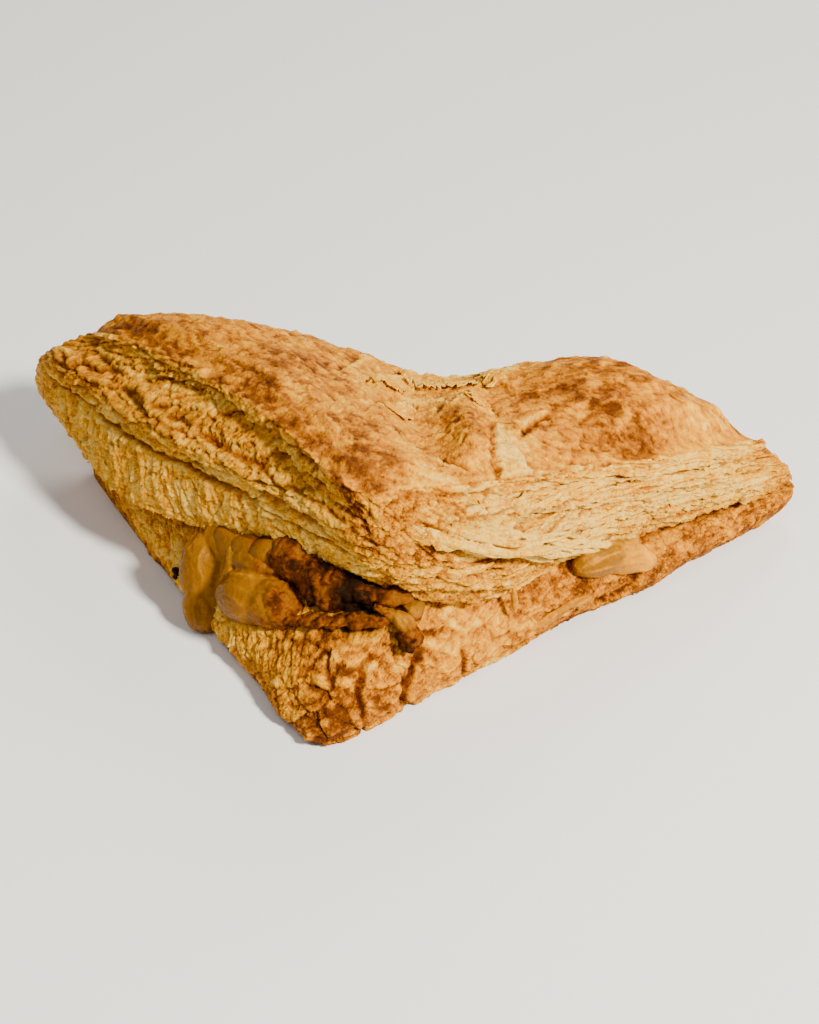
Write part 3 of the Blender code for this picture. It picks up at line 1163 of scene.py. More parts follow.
@dataclass
class UpperLayer:
    """The upper layer: its side of the crevice, its leafy walls and the top crust."""

    form: PuffForm = PuffForm()
    columns: tuple[int, int, int] = (380, 200, 380)
    crevice_rings: int = 7
    wall_rings: int = 100
    top_rings: int = 100
    tall: float = WALL_HEIGHT
    most_triangles: int = 195_000
    corner: Pair = (0.02, 0.13)
    scorched: Pair = (2.98, 0.13)
    left_turn: float = 139.0
    right_turn: float = 20.0
    drape_turn: float = -62.0
    fringe_turn: float = -20.0

    wall_coats: Coats = (
        Coat((15.0, 2.3), 0.95, 11, 0.10), Coat((6.0, 1.05), 0.50, 13, 0.11),
        Coat((2.2, 0.62), 0.26, 15, 0.10),
    )
    drape_coats: Coats = (Coat((9.0, 2.6), 0.55, 39, 0.08), Coat((3.6, 1.0), 0.20, 41, 0.07))
    fringe_coat: Coat = Coat((13.0, 0.75), 1.1, 51, 0.06)
    corner_coats: Coats = (Coat((3.6, 2.6), 0.55, 55, 0.16), Coat((1.5, 1.2), 0.30, 57, 0.12))
    west_coats: Coats = (Coat((5.5, 1.7), 0.30, 63, 0.15), Coat((2.2, 0.8), 0.17, 65, 0.12))
    east_coats: Coats = (Coat((4.0, 2.0), 0.28, 71, 0.15), Coat((1.7, 1.0), 0.16, 72, 0.12))

    tears: tuple[Tear, ...] = (
        Tear((-0.8, 12.5), (-4.5, 24.0), (-10.9, 6.5), 1.5, 6.0),
        Tear((1.3, 3.6), (-5.0, 11.0), (-6.5, -7.0), 0.9, 5.0),
        Tear((9.8, 16.5), (7.4, 8.5), (5.4, 2.5), 0.7, 4.0, 1.2),
        Tear((15.2, 3.0), (11.5, 17.0), (6.5, 2.0), 0.5, 6.0, 0.6),
        Tear((15.2, 3.0), (17.5, -8.0), (20.5, -21.0), 0.5, 3.5, 0.8),
        Tear((18.5, 23.5), (12.0, 24.0), (10.0, 17.0), 1.5, 9.0, 1.2),
        Tear((-2.5, 29.0), (-6.5, 26.0), (-6.1, 17.9), 1.0, 5.0, 1.4),
        Tear((14.4, 22.5), (6.0, 27.0), (-3.5, 27.0), 0.8, 5.0),
        Tear((20.0, -1.5), (21.0, 6.0), (25.5, 9.0), 0.8, 4.0),
        Tear((28.5, -15.4), (22.0, -8.0), (19.0, -4.0), 0.9, 5.0),
        Tear((31.0, -24.5), (30.5, -19.0), (27.0, -13.0), 0.9, 5.0),
        Tear((14.0, -16.5), (5.5, -14.0), (-3.6, -9.0), 0.7, 4.0, 1.2),
        Tear((60.5, 4.9), (56.0, 5.8), (51.0, 5.0), 0.6, 4.0, 2.2),
        Tear((45.0, 1.5), (36.0, 0.5), (30.0, -4.5), 0.8, 4.0, 0.9),
        Tear((-15.0, 26.0), (-13.0, 18.0), (-16.0, 10.0), 0.5, 6.0, 0.4),
    )
    toast_patches: tuple[Patch, ...] = (
        Patch((-30.0, 2.0), (26.0, 7.0), -40.0, 0.14),
        Patch((-18.0, 10.0), (14.0, 5.0), -38.0, 0.16),
        Patch((-5.0, -26.0), (8.0, 10.0), 0.0, 0.36),
        Patch((-66.0, 26.0), (12.0, 8.0), -20.0, 0.16),
        Patch((33.0, 14.0), (16.0, 15.0), 0.0, 0.30),
        Patch((13.0, -4.0), (3.0, 11.0), 21.0, 0.12),
        Patch((4.0, -11.0), (9.0, 3.0), -30.0, 0.22),
        Patch((59.0, 20.0), (12.0, 13.0), 0.0, -0.22),
        Patch((70.0, 31.0), (8.0, 9.0), 0.0, 0.30),
        Patch((24.0, -12.0), (4.5, 9.0), 35.0, -0.36),
        Patch((44.0, 0.0), (16.0, 4.0), 30.0, -0.26),
        Patch((-3.0, 9.0), (8.0, 8.0), 0.0, -0.30),
        Patch((55.6, 5.2), (5.5, 0.9), 0.0, 0.40),
        Patch((2.0, 27.0), (14.0, 4.5), 0.0, -0.30),
        Patch((-36.0, 31.0), (26.0, 4.0), 0.0, -0.20),
        Patch((8.0, -24.0), (5.0, 7.0), 0.0, -0.20),
    )

    def build(self) -> Piece:
        """Makes the upper layer.

        Returns:
            The piece, still without its finish.
        """
        form, u = self.form, edge_places(self.columns)
        crevice = [0.5 + 0.5 * k / self.crevice_rings for k in range(self.crevice_rings)]
        wall = [k / self.wall_rings for k in range(self.wall_rings + 1)]
        top = [(k + 1) / (self.top_rings + 1) for k in range(self.top_rings)]
        plan = [(Zone.CREVICE, w, form.crevice(u, w)) for w in crevice]
        plan += [(Zone.WALL, v, form.upper_wall(u, v)) for v in wall]
        plan += [(Zone.TOP, share, form.top(u, share)) for share in top]
        skin = Skin.of(u, plan, self.tall)
        self._walls(skin)
        self._left_side(skin)
        self._right_side(skin)
        self._crust(skin)
        self._torn_leaves(skin)
        self._scorch(skin)
        # Painted highlight on raised lips and painted shade in hollows.
        skin.crisp(3, 0.11, 0.34)
        low = np.array([*POLE, float(skin.rings[0, :, 2].mean()) + 0.3])
        high = np.array([*POLE, float(form.crust_height(*POLE))])
        return skin.made("upper_layer", low, high, self.most_triangles)

    def _fade(self, skin: Skin) -> Array:
        """1 over the walls, fading at the rim and into the top crust."""
        return skin.wall * smooth(0.0, 0.04, skin.v)

    def _walls(self, skin: Skin) -> None:
        """Lays the leaves that all the walls have, the ragged rim, and painted shadow along the right
        rim.

        Args:
            skin: The skin in the making.
        """
        wall, u, v = self._fade(skin), skin.u, skin.v
        is_open, left = self.form.open_share(u), self.form.left_share(u)
        corner = around(u, *self.corner, 4.0) * smooth(0.40, 0.56, v)
        drape = left * (1.0 - smooth(0.40, 0.54, v))
        leafy = wall * (0.12 + 0.88 * is_open) * (1.0 - 0.8 * corner) * (1.0 - 0.75 * drape)
        a = skin.along + 2.0 * skin.cloud(9.0, 3)
        b = skin.height + 1.3 * skin.cloud(13.0, 4)
        b = b + 0.35 * skin.cloud(2.6, 5)
        skin.leaves(leafy, a, b, *self.wall_coats)
        swell = Grain.fractal(np.stack([skin.along, skin.height, 0 * u], -1), 7.0, 17, 2)
        skin.relief += wall * is_open * 0.55 * swell
        rim = skin.wall * (1.0 - smooth(0.0, 0.07, v)) * is_open
        rim += skin.crevice * smooth(0.75, 1.0, v) * is_open
        rags = skin.drift(3.2, 19) + 0.6 * skin.drift(1.0, 20)
        skin.sag += rim * 0.75 * rags
        east = self.form.recessed(u)
        skin.relief += east * wall * 0.9 * (1.0 - smooth(0.05, 0.22, v))
        # Painted shadow: a dark line along the rim at the right side's mouth.
        skin.dip += east * skin.wall * 0.9 * (1.0 - smooth(0.0, 0.035, v))

    def _left_side(self, skin: Skin) -> None:
        """Shapes the left side: a porous gutter, torn bands, and leaves that hang below them.

        Args:
            skin: The skin in the making.
        """
        u, v, along, height = skin.u, skin.v, skin.along, skin.height
        left = self._fade(skin) * self.form.left_share(u)
        wander = 0.022 * skin.drift(14.0, 23) + 0.008 * skin.drift(3.0, 24)
        # Each groove is pressed in and darkened with painted shade.
        for middle, breadth, depth, seed in ((0.575, 0.016, 1.5, 1), (0.465, 0.014, 1.1, 2),
                                             (0.745, 0.012, 0.9, 3), (0.945, 0.012, 1.0, 4)):
            strength = 0.45 + 0.55 * smooth(-0.5, 0.4, skin.drift(17.0, 25 + seed))
            skin.groove(left * strength * hump(v + wander * seed, middle, breadth), depth, 0.8)
        banded = left * smooth(0.44, 0.52, v) * (1.0 - smooth(0.80, 0.86, v))
        comb = Grain.flat(along / 0.7, height / 3.0, 1.0, 31)
        crumbs = skin.cloud(1.3, 33)
        skin.relief += banded * (0.22 * comb + 0.24 * crumbs)
        # Painted shade in the hollows between the comb's ridges.
        skin.dip += banded * 0.25 * smooth(0.1, 0.7, -comb)
        hole = Grain.flakes(along / 1.25, height + 0.5 * comb, 35)
        porous = left * hump(v, 0.895, 0.030) * smooth(2.26, 2.40, u)
        pit = 1.0 - smooth(0.18, 0.42, hole.near)
        # The pits are pressed in and darkened with painted shade.
        skin.groove(porous * pit, 1.0, 0.9)
        drape = left * (1.0 - smooth(0.40, 0.54, v))
        s, t = turned(along, height, self.drape_turn)
        bent = t + 1.3 * skin.cloud(8.0, 37)
        skin.leaves(drape, s, bent, *self.drape_coats)
        string = smooth(0.80, 0.97, Grain.ridges(s / 9.0, bent / 2.6, 43, 1))
        skin.relief += drape * (0.36 * string + 0.2 * skin.cloud(2.6, 45))
        skin.toast -= drape * 0.12 * string

    def _right_side(self, skin: Skin) -> None:
        """Shapes the right side: laminated bands, the torn fringe and the blistered corner.

        Args:
            skin: The skin in the making.
        """
        u, v, along, height = skin.u, skin.v, skin.along, skin.height
        right = self._fade(skin) * self.form.open_share(u) * (1.0 - self.form.left_share(u))
        over = v - self.form.fringe_line(u)
        fringe = right * around(u, 0.27, 0.17, 4.0) * hump(over, 0.08, 0.10)
        s, t = turned(along, height, self.fringe_turn)
        skin.leaves(fringe, s, t, self.fringe_coat)
        fibres = Grain.flat(s / 7.0, t / 0.45, 1.0, 53)
        skin.relief += fringe * 0.45 * fibres
        skin.toast += fringe * 0.10
        # Below the fringe the wall is browner, with painted shade that deepens towards the fringe's
        # overhang.
        under = right * around(u, 0.24, 0.20, 4.0) * smooth(0.0, -0.05, over)
        skin.toast += under * 0.30
        skin.dip += under * (0.10 + 0.34 * smooth(-0.16, -0.03, over))
        sheets = right * smooth(0.08, 0.20, u) * (1.0 - 0.6 * fringe)
        drift = height + 0.8 * skin.cloud(11.0, 85)
        lines = smooth(0.12, 0.42, Grain.flat(along / 17.0, drift / 1.15, 1.0, 86))
        fine_lines = smooth(0.15, 0.45, Grain.flat(along / 7.0, drift / 0.5, 1.0, 88))
        skin.relief -= sheets * (0.40 * lines + 0.18 * fine_lines)
        skin.toast += sheets * (0.20 * lines + 0.12 * fine_lines)
        # Painted shade where the broad and fine pressed lines meet.
        skin.dip += sheets * 0.22 * lines * fine_lines
        # Along the rim the wall is browner, with painted shade along its ragged layer edges.
        ragged_rim_brown_and_shade = right * smooth(0.40, 0.52, u) * (1.0 - smooth(0.16, 0.32, v))
        skin.toast += ragged_rim_brown_and_shade * 0.16
        skin.dip += ragged_rim_brown_and_shade * (0.16 + 0.25 * lines)
        bands = right * smooth(0.30, 0.5, u) * smooth(0.30, 0.42, v)
        # Each band's groove is pressed in and darkened with painted shade.
        for middle, breadth, depth in ((0.80, 0.014, 0.8), (0.60, 0.012, 0.6), (0.38, 0.016, 0.9)):
            wander = 0.03 * skin.drift(19.0, int(middle * 100))
            skin.groove(bands * hump(v + wander, middle, breadth), depth, 0.5)
        corner = skin.wall * around(u, 0.03, 0.13, 4.0) * smooth(0.36, 0.56, v)
        skin.leaves(corner, along, height, *self.corner_coats)
        skin.toast += corner * 0.10 * skin.cloud(3.0, 59)

    @staticmethod
    def _unrolled(skin: Skin) -> tuple[Array, Array]:
        """Places of the plan, spread out from the pole by as much as the surface is longer.

        Args:
            skin: The skin in the making.

        Returns:
            The places along X and along Y, in millimetres.
        """
        way = skin.rings[..., :2] - POLE
        reach = np.maximum(np.linalg.norm(way, axis=-1), 1e-6)
        run = np.abs(np.diff(reach, axis=0, append=reach[-1:]))
        climb = np.diff(skin.rings[..., 2], axis=0, append=skin.rings[-1:, :, 2])
        longer = np.cumsum((np.hypot(run, climb) - run)[::-1], axis=0)[::-1]
        spread = skin.rings[..., :2] + way / reach[..., None] * longer[..., None]
        return spread[..., 0], spread[..., 1]

    def _crust(self, skin: Skin) -> None:
        """Shapes the glazed top crust, with brushed streaks at the left and wrinkles at the right.

        Args:
            skin: The skin in the making.
        """
        x, y = self._unrolled(skin)
        fold = skin.wall * (1.0 - self.form.open_share(skin.u))
        crust = np.maximum(skin.top + skin.wall * smooth(0.93, 1.0, skin.v), fold)
        west = smooth(4.0, -10.0, x)
        s, t = turned(x, y, self.left_turn)
        bent = t + Grain.flat(x, y, 7.0, 61)
        skin.leaves(crust * west, s, bent, *self.west_coats)
        streaks = Grain.flat(s / 5.5, bent / 0.6, 1.0, 67)
        skin.relief += crust * west * 0.16 * streaks
        skin.toast += crust * west * 0.16 * streaks
        # Browner along the left edge, partly as painted shade next to the gutter.
        edge = self.form.left_share(skin.u) * smooth(0.24, 0.0, skin.v)
        skin.toast += skin.top * 0.18 * edge
        east = 1.0 - west
        s, t = turned(x, y, self.right_turn)
        bent = t + 1.6 * Grain.flat(x, y, 6.0, 69)
        skin.leaves(crust * east, s, bent, *self.east_coats)
        ripple = Grain.ridges(s / 5.0, bent / 1.6, 73, 2) - 0.45
        near_edge = smooth(0.45, 0.05, skin.v) * skin.top * smooth(0.1, 0.3, skin.u)
        near_edge = near_edge * (1.0 - smooth(0.75, 0.9, skin.u))
        skin.relief += crust * east * ripple * (0.18 + 0.45 * near_edge)
        for share, turn, size, seed in ((west, self.left_turn, (3.6, 1.5), 81),
                                        (east, self.right_turn, (3.0, 1.7), 83)):
            s, t = turned(x, y, turn)
            s, t = s + 0.7 * Grain.flat(x, y, 1.8, seed), t + 0.6 * Grain.flat(x, y, 1.6, seed + 1)
            torn = Grain.flakes(s / size[0], t / size[1], seed)
            patchy = smooth(-0.25, 0.45, Grain.flat(x, y, 11.0, seed + 2))
            bare = share * patchy * (torn.number > 0.66) * smooth(0.02, 0.12, torn.edge)
            skin.relief -= crust * 0.22 * bare
            skin.toast -= crust * 0.34 * bare
        lumps = Grain.fractal(skin.rings, 9.0, 75, 3)
        skin.relief += crust * 0.85 * lumps
        skin.toast += crust * (0.10 * lumps + 0.12 * Grain.fractal(skin.rings, 14.0, 77, 2))
        blister = Grain.flakes(x / 2.6, y / 2.6, 79)
        risen = (blister.number > 0.72) * smooth(0.55, 0.1, blister.near)
        skin.relief += crust * risen * 0.35
        skin.toast -= crust * risen * 0.10
        skin.glaze += crust * 0.9
        spots = skin.rings[..., 0], skin.rings[..., 1]
        tone = 0.60 + sum(patch.over(*spots) for patch in self.toast_patches)
        skin.toast += skin.top * tone
        self._wall_tones(skin)

    def _wall_tones(self, skin: Skin) -> None:
        """Browns the walls: pale at the right, tan at the left, orange at the corner.

        Args:
            skin: The skin in the making.
        """
        u, v = skin.u, skin.v
        left, is_open = self.form.left_share(u), self.form.open_share(u)
        right_tone = 0.13 + 0.10 * smooth(0.82, 1.0, v) + 0.48 * around(u, 0.97, 0.07)
        right_tone += 0.40 * around(u, *self.corner, 4.0) * smooth(0.36, 0.56, v)
        right_tone += 0.16 * around(u, 0.02, 0.14) * (1.0 - smooth(0.36, 0.56, v))
        right_tone += 0.30 * smooth(0.62, 1.0, u) * (1.0 - smooth(0.05, 0.25, v))
        left_tone = 0.27 + 0.22 * hump(v, 0.68, 0.13) * (1.0 - smooth(2.25, 2.8, u))
        left_tone += 0.10 * smooth(0.5, 0.8, v) + 0.22 * smooth(0.93, 1.0, v)
        left_tone += 0.14 * (1.0 - smooth(2.1, 2.3, u))
        tone = left_tone * left + right_tone * (1.0 - left)
        tone = tone * is_open + 0.58 * (1.0 - is_open)
        tone += 0.55 * around(u, 2.98, 0.034) * smooth(0.60, 0.9, v)
        skin.toast += skin.wall * tone + skin.crevice * 0.5
        # Painted shade deep in the open crevice.
        skin.dip += skin.crevice * is_open * 0.8

    def _torn_leaves(self, skin: Skin) -> None:
        """Raises the torn edges of the top crust's leaves, and paints shade in the groove below each.

        Args:
            skin: The skin in the making.
        """
        top = skin.zone == Zone.TOP.value
        spots = skin.rings[top]
        x, y = spots[:, 0], spots[:, 1]
        ragged_x = x + 0.8 * Grain.flat(x, y, 2.6, 91) + 0.5 * Grain.flat(x, y, 0.9, 92)
        ragged_y = y + 0.8 * Grain.flat(x, y, 2.6, 93) + 0.5 * Grain.flat(x, y, 0.9, 94)
        lift, pale, shade = np.zeros(len(x)), np.zeros(len(x)), np.zeros(len(x))
        for tear in self.tears:
            gap, place = tear.offsets(ragged_x, ragged_y)
            fade = smooth(0.0, 0.15, place) * (1.0 - smooth(0.85, 1.0, place))
            below = hump(gap, -0.6, 0.55)
            lift += fade * (tear.lift * tear.leaf(gap) - tear.groove * below)
            bared = 0.5 * trailing(gap, 0.7) + 0.14 * trailing(gap, 4.0)
            pale += fade * smooth(-0.1, 0.2, gap) * bared
            # Painted shade in the groove below each torn edge.
            shade += fade * 0.6 * tear.groove * below
        skin.relief[top] += lift
        # Browner with the painted shade, paler where the torn leaf bares its layers.
        skin.toast[top] += 0.25 * shade - pale
        skin.dip[top] += shade
        skin.glaze[top] -= pale

    def _scorch(self, skin: Skin) -> None:
        """Scorches the rim over the burnt cheese."""
        rim = skin.wall * (1.0 - smooth(0.0, 0.06, skin.v)) * 0.7
        skin.scorch(around(skin.u, *self.scorched) * (rim + skin.crevice * 1.2), 87)


@dataclass
class LowerLayer:
    """The lower layer: the flat base, its low walls and its side of the crevice."""

    form: PuffForm = PuffForm()
    columns: tuple[int, int, int] = (380, 200, 380)
    base_rings: int = 5
    wall_rings: int = 74
    crevice_rings: int = 8
    tall: float = 19.0
    most_triangles: int = 170_000
    scorched: Pair = (2.99, 0.10)
    left_turn: float = -58.0

    face_coats: Coats = (
        Coat((5.6, 3.8), 0.60, 111, 0.16), Coat((2.3, 1.6), 0.26, 113, 0.12),
        Coat((1.0, 0.75), 0.12, 115, 0.08),
    )
    edge_coats: Coats = (Coat((12.0, 0.95), 0.55, 117, 0.07), Coat((4.0, 0.5), 0.30, 119, 0.05))
    left_coats: Coats = (Coat((5.0, 2.1), 0.42, 123, 0.12), Coat((2.2, 1.0), 0.26, 125, 0.10))
    creases: tuple[Tear, ...] = (
        Tear((9.5, -33.0), (6.0, -39.0), (8.0, -46.0), 0.5, 3.0, 1.0),
        Tear((3.0, -38.0), (-2.0, -43.0), (2.0, -47.0), 0.5, 3.0, 0.8),
        Tear((24.0, -20.0), (25.0, -25.0), (28.0, -28.0), 0.5, 3.0, 0.8),
        Tear((16.0, -27.0), (17.0, -33.0), (15.0, -38.0), 0.4, 3.0, 0.8),
        Tear((-6.0, -39.0), (-7.0, -43.0), (-3.0, -46.0), 0.5, 2.0, 0.6),
    )
    toast_patches: tuple[WallPatch, ...] = (
        WallPatch((0.0, 0.10), (0.20, 0.25), 0.16),
        WallPatch((0.02, 0.55), (0.14, 0.40), 0.34),
        WallPatch((0.10, 0.75), (0.08, 0.25), -0.16),
        WallPatch((0.25, 0.6), (0.10, 0.30), -0.14),
        WallPatch((0.80, 0.6), (0.14, 0.50), 0.06),
        WallPatch((0.66, 0.2), (0.10, 0.25), 0.12),
        WallPatch((2.50, 0.60), (0.36, 0.40), -0.46),
        WallPatch((2.55, 0.02), (0.40, 0.10), 0.24),
        WallPatch((2.93, 0.45), (0.06, 0.40), 0.06),
    )

    def build(self) -> Piece:
        """Makes the lower layer.

        Returns:
            The piece, still without its finish.
        """
        form, u = self.form, edge_places(self.columns)
        base = [0.98 - (k + 0.3) / self.base_rings * 0.96 for k in range(self.base_rings)]
        wall = [k / self.wall_rings for k in range(self.wall_rings + 1)]
        crevice = [0.5 * (k + 1) / self.crevice_rings for k in range(self.crevice_rings)]
        plan = [(Zone.BASE, share, form.base(u, share)) for share in base]
        plan += [(Zone.WALL, v, form.lower_wall(u, v)) for v in wall]
        plan += [(Zone.CREVICE, w, form.crevice(u, w)) for w in crevice]
        skin = Skin.of(u, plan, self.tall)
        self._dress(skin)
        self._creases(skin)
        # Painted highlight on raised lips and painted shade in hollows.
        skin.crisp()
        low = np.array([*POLE, 0.0])
        high = np.array([*POLE, float(skin.rings[-1, :, 2].mean()) - 0.3])
        return skin.made("lower_layer", low, high, self.most_triangles)

    def _dress(self, skin: Skin) -> None:
        """Lays the flakes, the cut edge's layers and the blisters, and browns them.

        Args:
            skin: The skin in the making.
        """
        u, v, along, height = skin.u, skin.v, skin.along, skin.height
        wall = skin.wall * smooth(0.0, 0.05, v) * (0.3 + 0.7 * self.form.open_share(u))
        left = self.form.left_share(u)
        face = wall * smooth(0.18, 0.30, v) * (1.0 - 0.4 * left)
        face = face * (1.0 - 0.5 * around(u, 0.62, 0.34, 4.0))
        near_corner = around(u, 0.0, 0.24, 4.0)
        slant = 0.75 * skin.rings[..., 2] + 0.70 * skin.rings[..., 1]
        for share, a, b in ((near_corner, skin.rings[..., 0], slant),
                            (1.0 - near_corner, along, height)):
            skin.leaves(face * share, a, b, *self.face_coats)
        edge = wall * (1.0 - smooth(0.16, 0.30, v)) * (1.0 - left)
        skin.leaves(edge, along, height, *self.edge_coats)
        cut = wall * around(u, 0.22, 0.21, 6.0)
        layers = Grain.flat(along / 14.0, height / 0.55, 1.0, 118)
        ledge = cut * hump(v + 0.02 * skin.drift(9.0, 120), 0.235, 0.022)
        band = cut * (1.0 - smooth(0.19, 0.24, v))
        skin.relief += 0.5 * band + band * 0.30 * layers - ledge
        # Painted shade in the groove above the cut band, and over the band most where its layers stand
        # out.
        skin.dip += 0.75 * ledge + band * 0.30 * smooth(0.0, 0.5, layers)
        skin.toast -= band * (0.22 + 0.20 * layers)
        s, t = turned(along, height, self.left_turn)
        bent = t + 1.2 * skin.cloud(7.0, 121)
        skin.leaves(wall * left, s, bent, *self.left_coats)
        skin.relief += wall * 0.55 * Grain.fractal(skin.rings, 7.0, 127, 3)
        blister = Grain.flakes(skin.rings[..., 0] / 2.8, slant / 2.8, 129)
        risen = (blister.number > 0.66) * smooth(0.5, 0.1, blister.near)
        skin.relief += face * risen * 0.55
        skin.toast -= face * risen * 0.30
        skin.glaze += face * 0.5
        self._brown(skin)

    def _brown(self, skin: Skin) -> None:
        """Browns the layer, and presses in the lip at the right, the torn hollow and the scorch.

        Args:
            skin: The skin in the making.
        """
        u, v = skin.u, skin.v
        tone = 0.72 + 0.36 * Grain.fractal(skin.rings, 8.0, 131, 3)
        tone += sum(patch.over(u, v) for patch in self.toast_patches)
        skin.toast += skin.wall * tone + skin.crevice * 0.5 + skin.base * 0.6
        # Painted shade deep in the open crevice.
        skin.dip += skin.crevice * self.form.open_share(u) * 0.8
        east = self.form.recessed(u) * skin.wall * smooth(0.80, 0.98, v)
        skin.relief -= 1.3 * east
        # Painted shadow under the rim along the right side's mouth.
        skin.dip += 0.9 * smooth(0.5, 0.9, east)
        edge_noise = skin.cloud(2.4, 137) + 0.5 * skin.cloud(0.9, 139)
        torn = around(u, 0.565, 0.050, 4.0) * hump(v, 0.42, 0.24) * skin.wall
        torn = smooth(0.42, 0.56, torn + 0.22 * edge_noise) * skin.wall
        # The torn hollow is pressed in and darkened with painted shade.
        skin.groove(torn, 1.7, 0.45)
        browned = 0.30 * around(u, 0.50, 0.06) * hump(v, 0.16, 0.10)
        skin.toast += skin.wall * (browned - 0.10 * torn)
        lip = skin.wall * smooth(0.88, 1.0, v) + skin.crevice * 1.2
        skin.scorch(around(u, *self.scorched) * lip, 133)

    def _creases(self, skin: Skin) -> None:
        """Presses the creases and torn edges into the slanted face at the near corner.

        Args:
            skin: The skin in the making.
        """
        wall = skin.zone == Zone.WALL.value
        x, y = skin.rings[wall][:, 0], skin.rings[wall][:, 1]
        ragged = 0.7 * Grain.flat(x, y, 2.5, 141)
        for crease in self.creases:
            gap, place = crease.offsets(x + ragged, y + ragged)
            fade = smooth(0.0, 0.2, place) * (1.0 - smooth(0.8, 1.0, place))
            below = hump(gap, -0.5, 0.5)
            skin.relief[wall] += fade * (crease.lift * crease.leaf(gap) - crease.groove * below)
            # Painted shade in the groove below each crease.
            skin.dip[wall] += fade * 0.8 * below
            skin.toast[wall] -= fade * 0.25 * smooth(-0.1, 0.2, gap) * trailing(gap, 0.8)


@dataclass(frozen=True)
class Ooze:
    """Cheese that has run out of the crevice at one place of the edge line."""

    at: float
    spread: float
    out: float
    hang: float
    puff: float
    power: float = 4.0


@dataclass(frozen=True)
class Fold:
    """A rounded fold in the run-out cheese, by its place along the side where it starts and ends."""

    top: float
    bottom: float
    width: float
    height: float


